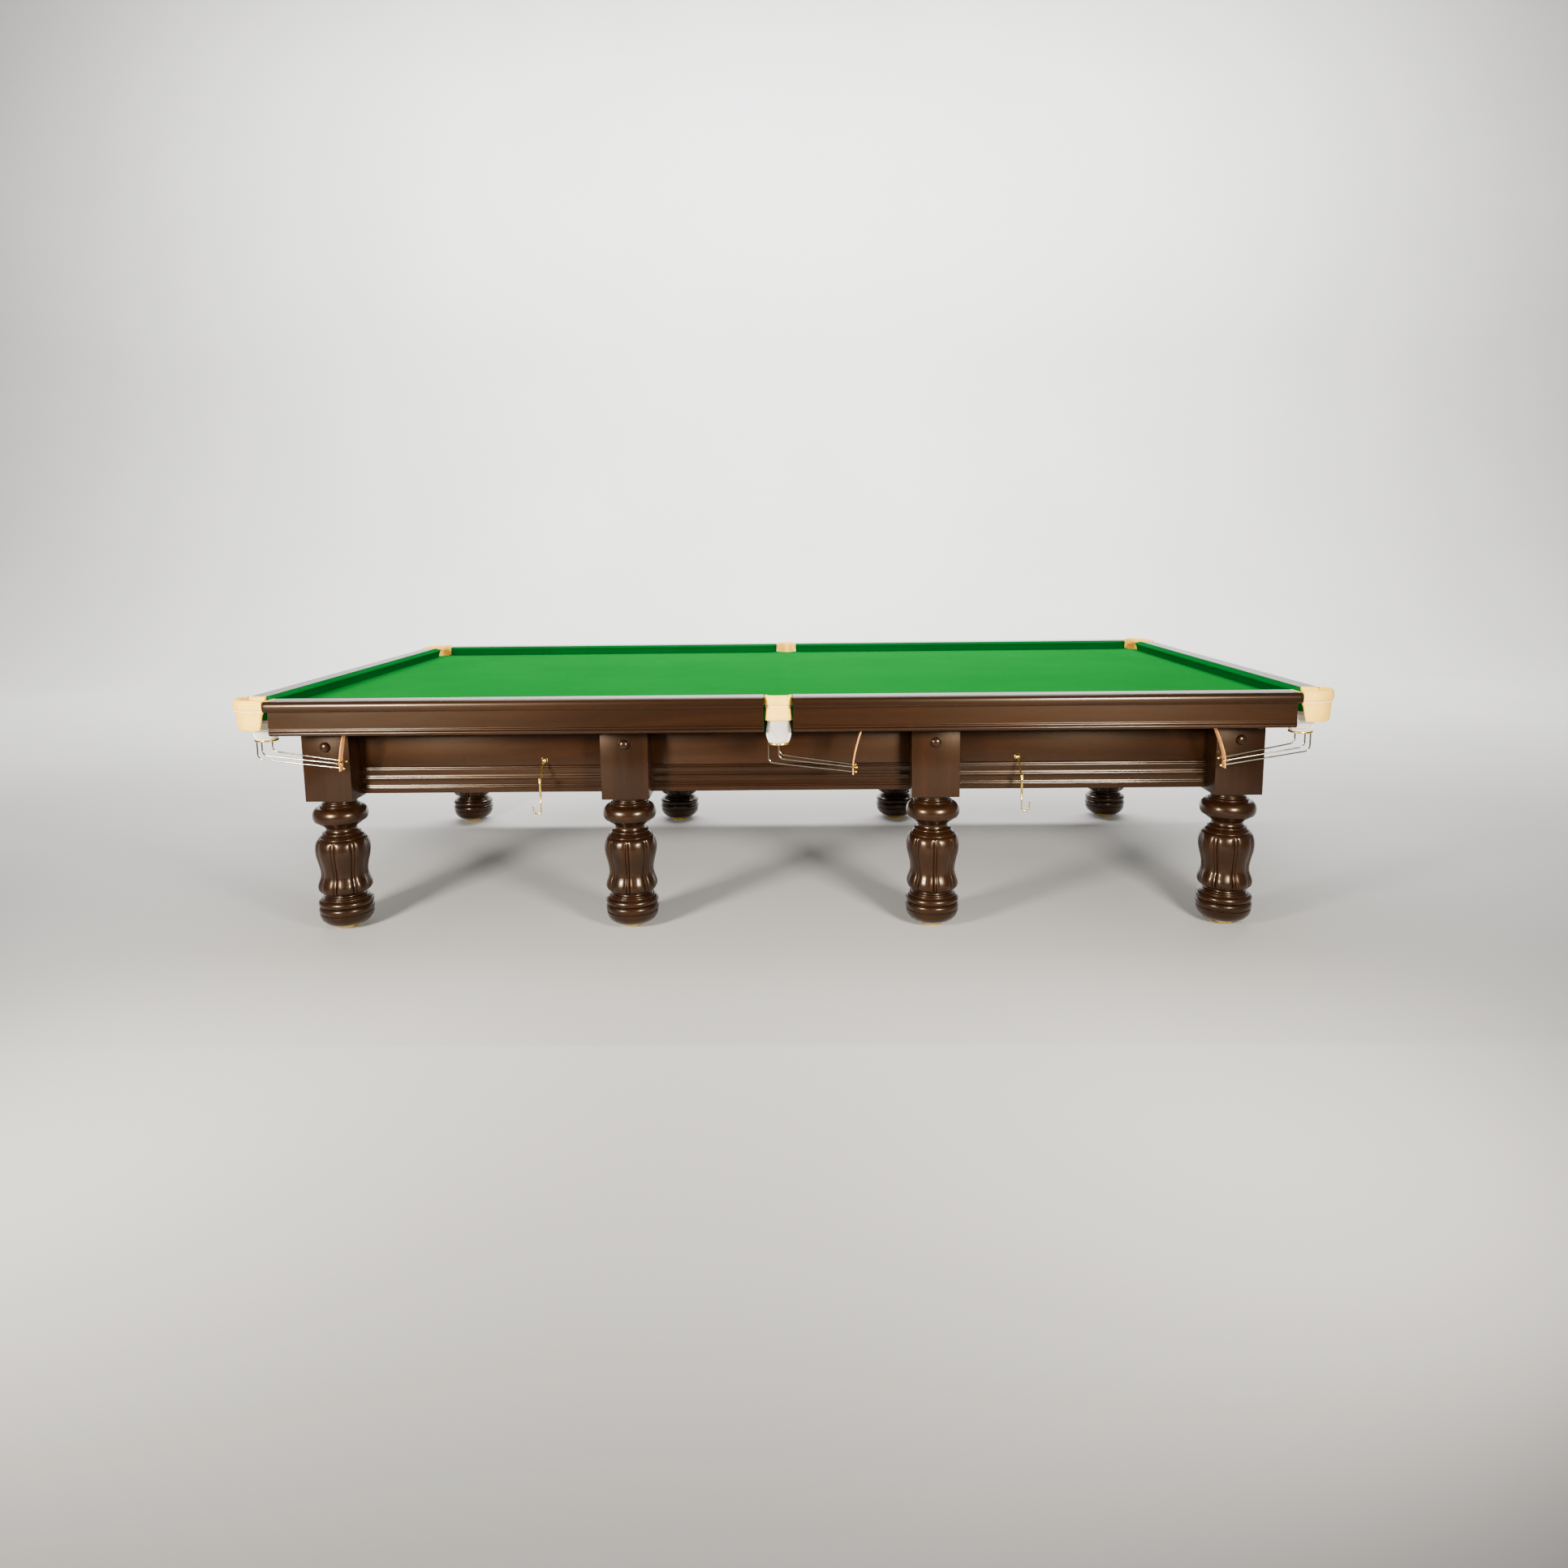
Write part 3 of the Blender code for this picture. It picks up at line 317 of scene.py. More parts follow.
DARK_WOOD = (0.0060, 0.0020, 0.0006)
MID_WOOD = (0.0120, 0.0040, 0.0011)
LIGHT_WOOD = (0.0215, 0.0072, 0.0020)
upright_wood = mahogany_finish("mahogany_upright", (16, 16, 1), DARK_WOOD, MID_WOOD, LIGHT_WOOD)
leg_profile = [(0, STEM_HOLE_TOP), (STEM_HOLE, STEM_HOLE_TOP), (STEM_HOLE, LEG_BOTTOM), (0.046, LEG_BOTTOM)]
leg_profile += quarter_out((0.046, LEG_BOTTOM), (0.0962, 0.0600), 10)
leg_profile += [(0.0935, 0.0612), (0.0935, 0.0628)]
leg_profile += swell((0.0935, 0.0740), 0.0043, 0.0108, -75, 75, 8)
leg_profile += [(0.0928, 0.0855), (0.0928, 0.0872)]
leg_profile += swell((0.0840, 0.1005), 0.0135, 0.0135, -72, 75, 10)
leg_profile += [(0.0852, 0.1142), (0.0848, 0.1163)]
leg_profile += swell((0.0815, 0.1182), 0.0026, 0.0026, -30, 90, 5)
leg_profile += [(0.0772, 0.1209), (0.0765, 0.1222)]
leg_profile += swell((0.0738, 0.1240), 0.0026, 0.0026, -30, 90, 5)
leg_profile += [(0.0692, 0.1270), (0.0673, 0.1290), (0.0667, 0.1315), (0.0674, 0.1340), (0.0700, 0.1358)]
leg_profile += quarter_out((0.0700, 0.1362), (0.0958, 0.1590), 10)
leg_profile += eased((0.0958, 0.1590), (0.0828, 0.2110), 12)
leg_profile += eased((0.0828, 0.2110), (0.0972, 0.3010), 16)
leg_profile += quarter_up((0.0972, 0.3010), (0.0800, PETAL_HEAD), 9)
leg_profile += swell((0.0792, 0.3475), 0.0026, 0.0028, -70, 90, 6)
leg_profile += [(0.0768, 0.3506), (0.0742, 0.3538), (0.0708, 0.3568), (0.0678, 0.3588), (0.0660, 0.3600)]
leg_profile += swell((0.0655, 0.3640), 0.0032, 0.0036, -70, 90, 7)
leg_profile += [(0.0615, 0.3686), (0.0575, 0.3712), (0.0552, 0.3752), (0.0545, 0.3800), (0.0551, 0.3842)]
leg_profile += [(0.0572, 0.3876), (0.0630, 0.3918), (0.0718, 0.3980), (0.0802, 0.4048), (0.0880, 0.4122)]
leg_profile += swell((0.0760, 0.4330), 0.0215, 0.0310, -42, 90, 14)
leg_profile += [(0.0700, 0.4646), (0.0690, 0.4660)]
leg_profile += swell((0.0668, 0.4692), 0.0034, 0.0030, -45, 90, 6)
leg_profile += [(0.0622, 0.4726), (0.0612, 0.4742)]
leg_profile += swell((0.0592, 0.4776), 0.0034, 0.0032, -45, 90, 6)
leg_profile += [(0.0562, 0.4818), (0.0553, 0.4860), (0.0556, 0.4915), (0.0580, 0.4960)]
leg_profile += [(0.0610, BLOCK_BOTTOM), (0, BLOCK_BOTTOM)]
# How far the surface sinks with the angle in degrees from the rib between two petals
petal_cut = [(0, 0.0020), (1.875, 0.0024), (3.75, 0.0060), (5.625, 0.0030)]
petal_cut += [(8, 0.0018), (12, 0.0007), (23, 0)]
# How strong the carving is with the height up the tulip
petal_depth = [(PETAL_FOOT, 0.4), (0.150, 1.4), (0.165, 1.4), (0.190, 1.0), (0.328, 1.0), (PETAL_HEAD, 0.0)]
knob_profile = [(0, -0.004), (KNOB_RADIUS * 0.8, -0.004), (KNOB_RADIUS * 0.8, 0.0012), (KNOB_RADIUS, 0.0022)]
knob_profile += quarter_up((KNOB_RADIUS, 0.0030), (0, KNOB_DEPTH), 9)
for name in leg_names:
    bm = bmesh.new()
    turned(bm, leg_profile, LEG_STEPS)
    merged(bm)
    for vert in bm.verts:
        if PETAL_FOOT < vert.co.z < PETAL_HEAD:
            angle = math.degrees(math.atan2(vert.co.y, vert.co.x))
            from_rib = abs((angle + PETAL_SPREAD / 2) % PETAL_SPREAD - PETAL_SPREAD / 2)
            sink = along_curve(petal_cut, from_rib) * along_curve(petal_depth, vert.co.z)
            vert.co.xy *= 1 - sink / vert.co.xy.length
    block = bmesh.new()
    bmesh.ops.create_cube(block, size=1.0)
    tall = FRAME_TOP - BLOCK_BOTTOM - BLOCK_GAP
    bmesh.ops.scale(block, verts=block.verts, vec=(BLOCK_WIDTH, BLOCK_WIDTH, tall))
    rounded(block, block.edges, BLOCK_ROUND, 2)
    joined(bm, block, Matrix.Translation((0, 0, FRAME_TOP - tall / 2)))
    knob = bmesh.new()
    turned(knob, knob_profile, KNOB_STEPS)
    facing = Matrix.Rotation(math.pi / 2, 4, "X")
    joined(bm, knob, Matrix.Translation((0, -BLOCK_WIDTH / 2, KNOB_HEIGHT)) @ facing)
    side = 0 if name.startswith("front") else math.pi
    settle(bm, Matrix.Translation(leg_places[name]) @ Matrix.Rotation(side, 4, "Z"))
    finished(bm, "turned_leg_" + name, upright_wood, nodes=["leg_" + name])

# Frame. Deep mahogany rails run between the leg blocks under the slate, with a moulded strip of
# reeds along their lower part, and two cross bearers tie the long sides together.
RAIL_BOTTOM = 0.5104
RAIL_THICKNESS = 0.045
STRIP_DEPTH = 0.0040
BLOCK_REACH = BLOCK_WIDTH / 2 + 0.0003
LEG_X = [leg_places[f"front_{count}"].x for count in (1, 2, 3, 4)]
LEG_Y = leg_places["back_1"].y
BEARER_HEIGHT = 0.150


def section_at(x, offset, outline):
    """A section of (distance out, height) points, stood across one side of the table at x."""
    return [(x, -offset - reach, z) for reach, z in outline]


def drawn_out(bm, outline, move):
    """A face through the points, extruded to where the move takes it; returns the end face."""
    face = bm.faces.new([bm.verts.new(point) for point in outline])
    return extended(bm, face, move)


def extended(bm, face, move):
    """Extrudes a face and moves its end; returns the new end face."""
    made = bmesh.ops.extrude_face_region(bm, geom=[face])["geom"]
    end = next(part for part in made if isinstance(part, bmesh.types.BMFace))
    bmesh.ops.transform(bm, matrix=move, verts=end.verts)
    return end


def reed(low, high, depth, steps=6):
    """A half-round reed on the strip, from one height to another."""
    middle = (low + high) / 2
    return swell((STRIP_DEPTH, middle), depth, (high - low) / 2, -90, 90, steps)


def softened(bm, offset):
    """Takes the sharpness off every square edge, as sandpaper does."""
    merged(bm)
    bmesh.ops.recalc_face_normals(bm, faces=bm.faces)
    sharp = [edge for edge in bm.edges if edge.is_manifold and edge.calc_face_angle() > 1.0]
    rounded(bm, sharp, offset, 2, clamp=True)


along_wood = mahogany_finish("mahogany_along", (1, 16, 16), DARK_WOOD, MID_WOOD, LIGHT_WOOD)
across_wood = mahogany_finish("mahogany_across", (16, 1, 16), DARK_WOOD, MID_WOOD, LIGHT_WOOD)
panel_outline = [(0, RAIL_BOTTOM), (-RAIL_THICKNESS, RAIL_BOTTOM)]
panel_outline += [(-RAIL_THICKNESS, FRAME_TOP), (0, FRAME_TOP)]
strip_outline = [(0.0002, RAIL_BOTTOM), (0.0075, RAIL_BOTTOM), (0.0080, RAIL_BOTTOM + 0.0006)]
strip_outline += [(0.0080, 0.5270), (0.0074, 0.5276), (STRIP_DEPTH, 0.5278)]
strip_outline += reed(0.5290, 0.5350, 0.0036) + reed(0.5356, 0.5416, 0.0036)
strip_outline += [(STRIP_DEPTH, 0.5440), (0.0030, 0.5500), (0.0034, 0.5565)]
strip_outline += reed(0.5580, 0.5720, 0.0046, 9)
strip_outline += [(0.0034, 0.5735), (0.0030, 0.5800), (0.0034, 0.5900), (STRIP_DEPTH, 0.5940)]
strip_outline += reed(0.5950, 0.6012, 0.0038) + reed(0.6018, 0.6080, 0.0038)
strip_outline += [(STRIP_DEPTH, 0.6086), (0.0002, 0.6100)]
long_spans = [(low + BLOCK_REACH, high - BLOCK_REACH) for low, high in zip(LEG_X, LEG_X[1:])]
end_spans = [(-LEG_Y + BLOCK_REACH, LEG_Y - BLOCK_REACH)]
frame_sides = [
    ("front", 0, LEG_Y, long_spans, along_wood),
    ("back", math.pi, LEG_Y, long_spans, along_wood),
    ("right", math.pi / 2, LEG_X[3], end_spans, across_wood),
    ("left", -math.pi / 2, LEG_X[3], end_spans, across_wood),
]
for name, turn, offset, spans, wood in frame_sides:
    panels, strips = bmesh.new(), bmesh.new()
    for low, high in spans:
        run = Matrix.Translation((high - low, 0, 0))
        drawn_out(panels, section_at(low, offset, panel_outline), run)
        drawn_out(strips, section_at(low, offset, strip_outline), run)
    softened(panels, 0.0012)
    for bm in (panels, strips):
        settle(bm, Matrix.Rotation(turn, 4, "Z"))
    finished(panels, "frame_panel_" + name, wood, nodes=["frame_rail_" + name])
    finished(strips, "frame_reeds_" + name, wood, crease=30)
for name, x in (("left", LEG_X[1]), ("right", LEG_X[2])):
    bm = bmesh.new()
    bmesh.ops.create_cube(bm, size=1.0)
    length = 2 * (LEG_Y - BLOCK_REACH)
    bmesh.ops.scale(bm, verts=bm.verts, vec=(RAIL_THICKNESS, length, BEARER_HEIGHT))
    softened(bm, 0.0030)
    settle(bm, Matrix.Translation((x, 0, FRAME_TOP - BEARER_HEIGHT / 2)))
    finished(bm, "bearer_" + name, across_wood, nodes=["cross_bearer_" + name])

# Slate. A heavy honed bed lies level on the frame, cut round at the six pockets. It shows only
# from below, dark grey and faintly layered.
slate, tree, shader = new_finish("honed_slate", {"Specular IOR Level": 0.35})
layers = noise(tree, pattern_space(tree, (1, 1, 14)), 6.0, 8.0, 0.62, 0.4)
grit = noise(tree, pattern_space(tree, (1, 1, 1)), 420.0, 2.0)
stone = [(0.30, (0.040, 0.044, 0.050)), (0.70, (0.095, 0.102, 0.112))]
patterned(tree, shader, "Base Color", layers, stone)
patterned(tree, shader, "Roughness", layers, [(0.2, grey(0.62)), (0.8, grey(0.82))])
raise_grain(tree, shader, grit, 0.0004, 0.25)
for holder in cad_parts["slate_bed"].material_slots:
    holder.material = slate

# Bed cloth. One piece of green napped wool is stretched over the slate, turned down at each pocket
# and fixed to the slate's edge there.
BED_HEIGHT = 0.850
CLOTH_THICKNESS = 0.0010
HALF_X = 1.8425
HALF_Y = 0.947
HOLE_RADIUS = 0.0410
CORNER_POCKET = Vector((1.8145, -0.919))
MIDDLE_POCKET = Vector((0.0, -0.949))
SLOT_HALF = 0.0500
SLOT_EDGE = -0.9370
FALL = 0.0420
FALL_ROUND = 0.0030
CORNER_STEPS = 28
MIDDLE_STEPS = 24


def cloth_finish(name, deep, bright, nap):
    """Napped wool cloth: a close felted weave with short fibres that catch the light."""
    material, tree, shader = new_finish(
        name,
        {
            "Specular IOR Level": 0.0,
            "Sheen Weight": nap,
            "Sheen Roughness": 0.40,
            "Sheen Tint": (0.0, 0.85, 0.12, 1.0),
        },
    )
    even = pattern_space(tree, (1, 1, 1))
    drift = noise(tree, even, 3.0, 4.0, 0.55)
    fibres = noise(tree, pattern_space(tree, (2.5, 1, 1)), 900.0, 4.0, 0.7)
    colour = ramp(tree, drift, [(0.30, deep), (0.70, bright)])
    fleck = ramp(tree, fibres, [(0.25, grey(0.74)), (0.75, grey(1.0))])
    tree.links.new(darkened(tree, colour, fleck, 0.8), shader.inputs["Base Color"])
    patterned(tree, shader, "Roughness", fibres, [(0.3, grey(0.98)), (0.7, grey(0.86))])
    raise_grain(tree, shader, fibres, 0.0006, 0.35)
    return material


def pocket_arc(centre, start, end, steps):
    """Points round a pocket's hole, from one angle in degrees to another."""
    return [Vector(point) for point in swell(centre, HOLE_RADIUS, HOLE_RADIUS, start, end, steps)]


bed_green = cloth_finish("bed_cloth_green", (0.0, 0.120, 0.016), (0.0, 0.136, 0.019), 0.04)
out_y = HALF_Y + CORNER_POCKET.y
out_x = HALF_X - CORNER_POCKET.x
start = 180 + math.degrees(math.asin(out_y / HOLE_RADIUS))
end = math.degrees(math.acos(out_x / HOLE_RADIUS))
rise = math.degrees(math.asin((SLOT_EDGE - MIDDLE_POCKET.y) / HOLE_RADIUS))
corner_right = pocket_arc(CORNER_POCKET, start, end, CORNER_STEPS)
corner_left = [Vector((-point.x, point.y)) for point in reversed(corner_right)]
middle = [Vector((-SLOT_HALF, -HALF_Y)), Vector((-SLOT_HALF, SLOT_EDGE))]
middle += pocket_arc(MIDDLE_POCKET, 180 - rise, rise, MIDDLE_STEPS)
middle += [Vector((SLOT_HALF, SLOT_EDGE)), Vector((SLOT_HALF, -HALF_Y))]
front_edge = [corner_left, middle, corner_right]
bm = bmesh.new()
rim = []
pocket_edges = []
for half in (1, -1):
    for cut in front_edge:
        verts = [bm.verts.new((half * p.x, half * p.y, BED_HEIGHT - CLOTH_THICKNESS / 2)) for p in cut]
        pocket_edges += [bm.edges.new(pair) for pair in zip(verts, verts[1:])]
        rim += verts
bm.faces.new(rim)
fallen = bmesh.ops.extrude_edge_only(bm, edges=pocket_edges)["geom"]
hem = [part for part in fallen if isinstance(part, bmesh.types.BMVert)]
bmesh.ops.translate(bm, verts=hem, vec=(0, 0, -FALL))
rounded(bm, pocket_edges, FALL_ROUND, 4)
bmesh.ops.recalc_face_normals(bm, faces=bm.faces)
bed_area = sum(face.calc_area() for face in bm.faces)
bmesh.ops.solidify(bm, geom=bm.faces, thickness=CLOTH_THICKNESS)
top = max(vert.co.z for vert in bm.verts)
bmesh.ops.translate(bm, verts=bm.verts, vec=(0, 0, BED_HEIGHT - top))
bed = finished(bm, "bed_cloth_sheet", bed_green, nodes=["bed_cloth"], crease=50)

# Cushion rails. Six polished mahogany rails are bolted to the slate's edge. Each has a rounded
# nosing, a flat fascia set back under it, and a pair of beads along the bottom.
NOSE_X = 1.7845
NOSE_Y = 0.889
RAIL_TOP = 0.890
RAIL_SEAT = BED_HEIGHT + 0.0003
RAIL_FOOT = 0.768
RAIL_BACK = 0.0453
SLATE_EDGE = 0.0583
FASCIA = 0.111
CORNER_END = 0.020
MIDDLE_END = 0.0503
NOSING_BACK = 0.1038
NOSING_FOOT = 0.8534
NOSING_OVERRUN = 0.014
NOSING_END_ROUND = 0.0030
LINING = 0.0014

rail_outline = [(RAIL_BACK, RAIL_SEAT), (RAIL_BACK, RAIL_TOP - 0.0012), (RAIL_BACK + 0.0012, RAIL_TOP)]
nosing_round = [(0.100, RAIL_TOP), *swell((0.1015, 0.8715), 0.0185, 0.0185, 85, 0, 10)]
nosing_round += swell((0.1150, 0.8590), 0.0050, 0.0056, 0, -90, 5)
rail_outline += nosing_round
rail_outline += [(0.1125, NOSING_FOOT), (0.1123, 0.8506), (FASCIA, 0.8500), (FASCIA, 0.7935)]
rail_outline += [(0.1122, 0.7930), (0.1124, 0.7915), (FASCIA, 0.7910)]
rail_outline += swell((FASCIA, 0.7862), 0.0048, 0.0044, 88, -88, 8)
rail_outline += swell((FASCIA, 0.7768), 0.0052, 0.0044, 88, -88, 8)
rail_outline += [(FASCIA, 0.7712), (0.1098, 0.7700), (0.1098, RAIL_FOOT)]
rail_outline += [(SLATE_EDGE, RAIL_FOOT), (SLATE_EDGE, RAIL_SEAT)]
nosing_outline = [(NOSING_BACK, NOSING_FOOT)]
nosing_outline += [spot for spot in nosing_round if spot[0] > NOSING_BACK]
upper_outline = [(RAIL_BACK, NOSING_FOOT), (RAIL_BACK, RAIL_TOP), *nosing_round]
long_rail = (MIDDLE_END, NOSE_X - CORNER_END)
end_rail = (-NOSE_Y + CORNER_END, NOSE_Y - CORNER_END)
rail_sides = [
    ("front_right", 0, NOSE_Y, long_rail, along_wood),
    ("front_left", 0, NOSE_Y, (-long_rail[1], -long_rail[0]), along_wood),
    ("back_left", math.pi, NOSE_Y, long_rail, along_wood),
    ("back_right", math.pi, NOSE_Y, (-long_rail[1], -long_rail[0]), along_wood),
    ("right", math.pi / 2, NOSE_X, end_rail, across_wood),
    ("left", -math.pi / 2, NOSE_X, end_rail, across_wood),
]
for name, turn, offset, (low, high), wood in rail_sides:
    bm = bmesh.new()
    run = Matrix.Translation((high - low - 2 * LINING, 0, 0))
    drawn_out(bm, section_at(low + LINING, offset, rail_outline), run)
    for end, way in ((low, -1), (high, 1)):
        run = Matrix.Translation((way * LINING, 0, 0))
        drawn_out(bm, section_at(end - way * LINING, offset, upper_outline), run)
        if abs(end) > MIDDLE_END:
            tip = bmesh.new()
            run = Matrix.Translation((way * NOSING_OVERRUN, 0, 0))
            cap = drawn_out(tip, section_at(end, offset, nosing_outline), run)
            rounded(tip, cap.edges, NOSING_END_ROUND, 3)
            joined(bm, tip, Matrix.Identity(4))
    settle(bm, Matrix.Rotation(turn, 4, "Z"))
    finished(bm, "polished_rail_" + name, wood, nodes=["cushion_rail_" + name], crease=28)

# Rail linings. The sawn ends of the rails, which face the pockets, are lined with a patch of green
# cloth that is glued on under the nosing. The cloth is coloured far darker than the bed cloth, as painted
# shade for the pockets' mouths.
PATCH = LINING - 0.0002
PATCH_INSET = 0.0015
PATCH_TOP = 0.8510

# Painted shade: this green is much darker than the bed cloth and stands in for the shade inside the pockets.
lining_painted_shade = cloth_finish("lining_painted_shade", (0.0, 0.036, 0.010), (0.0, 0.050, 0.014), 0.03)
patch_back, patch_front = SLATE_EDGE + 0.001, FASCIA - PATCH_INSET
patch_outline = [(patch_back, RAIL_FOOT + PATCH_INSET), (patch_front, RAIL_FOOT + PATCH_INSET)]
patch_outline += [(patch_front, PATCH_TOP), (patch_back, PATCH_TOP)]
for name, turn, offset, (low, high), _ in rail_sides:
    bm = bmesh.new()
    for start in (low, high - PATCH):
        drawn_out(bm, section_at(start, offset, patch_outline), Matrix.Translation((PATCH, 0, 0)))
    softened(bm, 0.0004)
    settle(bm, Matrix.Rotation(turn, 4, "Z"))
    finished(bm, "rail_lining_" + name, lining_painted_shade, crease=28)

# Cushions. A strip of rubber under green cloth is glued along each rail, with a nose that leans out
# over the bed, and its ends curve back into the pockets.
NOSE_BACK = 0.045
NOSE_RISE = 0.0335
JAW_DEPTH = 0.031
JAW_MIDDLE = 0.040
JAW_CORNER = 0.085
JAW_STEPS = 14

# Painted shade: the cushion cloth is a darker copy of the bed cloth, standing in for the shade on the
# cushions' faces.
cushion_green_painted_shade = cloth_finish("cushion_cloth_painted_shade", (0.0, 0.066, 0.011), (0.0, 0.080, 0.014), 0.03)
nose_outline = [(NOSE_BACK, RAIL_TOP - 0.0006), (NOSE_BACK - 0.0012, RAIL_TOP)]
nose_outline += [(0.030, RAIL_TOP - 0.0007), (0.016, RAIL_TOP - 0.0026), (0.0065, RAIL_TOP - 0.0046)]
nose_outline += swell((0.0042, BED_HEIGHT + NOSE_RISE - 0.0012), 0.0042, 0.0034, 110, 230, 8)
nose_outline += [(0.0060, BED_HEIGHT + 0.0230), (0.0105, BED_HEIGHT + 0.0100), (0.0138, BED_HEIGHT + 0.0008)]
nose_outline += [(0.0150, RAIL_SEAT), (NOSE_BACK, RAIL_SEAT)]
arc = [math.pi / 2 * step / JAW_STEPS for step in range(JAW_STEPS + 1)]
for name, turn, offset, (low, high), _ in rail_sides:
    first = JAW_CORNER if abs(low) > MIDDLE_END else JAW_MIDDLE
    last = JAW_CORNER if abs(high) > MIDDLE_END else JAW_MIDDLE
    stations = [(low + first * (1 - math.sin(a)), JAW_DEPTH * (1 - math.cos(a))) for a in reversed(arc)]
    stations += [(high - last * (1 - math.sin(a)), JAW_DEPTH * (1 - math.cos(a))) for a in arc]
    bm = bmesh.new()
    x, setback = stations[0]
    share = (NOSE_BACK - setback) / NOSE_BACK
    ring = [(x, -offset - setback - reach * share, z) for reach, z in nose_outline]
    face = bm.faces.new([bm.verts.new(point) for point in ring])
    back = Matrix.Translation((0, -offset - NOSE_BACK, 0))
    for x, setback in stations[1:]:
        here = face.verts[0].co.x
        grown = (NOSE_BACK - setback) / NOSE_BACK / share
        share *= grown
        deepen = back @ Matrix.Diagonal((1, grown, 1, 1)) @ back.inverted()
        face = extended(bm, face, Matrix.Translation((x - here, 0, 0)) @ deepen)
    settle(bm, Matrix.Rotation(turn, 4, "Z"))
    cushion = finished(
        bm, "cushion_" + name, cushion_green_painted_shade, nodes=["cushion_nose_" + name], crease=40
    )

# Pocket leathers. A collar of pale hide rims each pocket: a padded roll sewn over the top, a welt
# in the seam, and a flap that hangs below it and hides the head of the net. At the corners two
# padded ears cover the ends of the rails behind their nosings.
SEAM = 0.855
CORNER_RADIUS = 0.090
CORNER_ARM = 0.0357
ARM_TUCK = 0.008
CORNER_FLAP = 0.068
CORNER_FLAP_OUT = -0.003
MIDDLE_RADIUS = 0.042
MIDDLE_ARM = 0.012
MIDDLE_SQUARE = 0.022
MIDDLE_FLAP = 0.048
MIDDLE_FLAP_OUT = 0.008
SEAM_OUT = 0.0015
FLAP_THICKNESS = 0.0045
EAR_FOOT = 0.8542
EAR_TOP = RAIL_TOP + 0.0006
EAR_REACH = 0.1034
EAR_THICKNESS = 0.0146
EAR_ROUND = 0.0100
ARM_STEPS = 12
BEND_STEPS = 36
WELT_RADIUS = 0.0011
STITCH_DROP = 0.0058
STITCH_SIZE = (0.0018, 0.0006, 0.0006, 1.0)
STITCH_PITCH = 0.0052


def leather_finish(name, pale, deep):
    """Natural hide: fine pebbled grain, soft mottling and a dull waxed face."""
    material, tree, shader = new_finish(
        name,
        {
            "Specular IOR Level": 0.32,
            "Specular Tint": (1.0, 0.86, 0.60, 1.0),
            "Sheen Weight": 0.04,
            "Sheen Tint": (1.0, 0.80, 0.40, 1.0),
            "Sheen Roughness": 0.5,
        },
    )
    even = pattern_space(tree, (1, 1, 1))
    mottle = noise(tree, even, 34.0, 5.0, 0.6)
    cells = add_node(tree, "TexVoronoi", {"Scale": 620.0, "Randomness": 1.0}, feature="DISTANCE_TO_EDGE")
    tree.links.new(even, cells.inputs["Vector"])
    pebbles = ramp(tree, cells.outputs["Distance"], [(0.0, grey(0.0)), (0.25, grey(1.0))])
    patterned(tree, shader, "Base Color", mottle, [(0.30, deep), (0.68, pale)])
    patterned(tree, shader, "Roughness", mottle, [(0.3, grey(0.50)), (0.7, grey(0.64))])
    raise_grain(tree, shader, pebbles, 0.0004, 0.30)
    return material


def flap_face(flap, foot_out, height):
    """How far out the flap's face hangs at a height; it bellies slightly."""
    share = (height - SEAM + flap) / flap
    return foot_out + (SEAM_OUT - foot_out) * share + 0.0012 * math.sin(math.pi * share)


def leather_outline(flap, foot_out):
    """Section of a collar, as (distance out from the roll's middle, height)."""
    foot = SEAM - flap
    levels = [foot + 0.0014, foot + flap * 0.25, foot + flap * 0.5, foot + flap * 0.75, SEAM - 0.0040]
    outside = [(flap_face(flap, foot_out, z), z) for z in levels]
    inside = [(out - FLAP_THICKNESS, z) for out, z in reversed(outside)]
    points = [(foot_out - 0.0012, foot), *outside]
    points += swell((SEAM_OUT + 0.0006, SEAM - 0.0008), 0.0024, 0.0020, -80, 80, 6)
    points += [(SEAM_OUT + 0.0008, SEAM + 0.0020), (0.0052, SEAM + 0.0046), (0.0073, SEAM + 0.0090)]
    points += [(0.0081, SEAM + 0.0150), (0.0082, SEAM + 0.0230)]
    points += swell((0.0, SEAM + 0.0280), 0.0082, 0.0120, 10, 170, 14)
    points += [(-0.0080, SEAM + 0.0200), (-0.0072, SEAM + 0.0090), (-0.0050, SEAM + 0.0020)]
    return points + inside + [(foot_out - FLAP_THICKNESS + 0.0012, foot)]


hide = leather_finish("natural_hide", (0.97, 0.62, 0.085), (0.90, 0.53, 0.055))
thread, tree, shader = new_finish("waxed_thread", {"Roughness": 0.7, "Specular IOR Level": 0.3})
twist = noise(tree, pattern_space(tree, (1, 1, 1)), 1500.0, 2.0)
patterned(tree, shader, "Base Color", twist, [(0.3, (0.62, 0.42, 0.20)), (0.7, (0.90, 0.72, 0.46))])
# The welt is coloured paler than the hide, which makes a bright line along the seam.
piping = leather_finish("paler_welt_hide", (0.98, 0.93, 0.74), (0.92, 0.84, 0.60))
pockets = [
    ("front_right", "corner", CORNER_POCKET, 0, False),
    ("front_left", "corner", CORNER_POCKET, 0, True),
    ("front_middle", "middle", MIDDLE_POCKET, 0, False),
    ("back_left", "corner", CORNER_POCKET, math.pi, False),
    ("back_right", "corner", CORNER_POCKET, math.pi, True),
    ("back_middle", "middle", MIDDLE_POCKET, math.pi, False),
]


def seated(turn, flip):
    """Where a piece drawn at the front right goes: mirrored to the left, or turned to the back."""
    mirror = Matrix.Diagonal((-1 if flip else 1, 1, 1, 1))
    return Matrix.Rotation(turn, 4, "Z") @ mirror


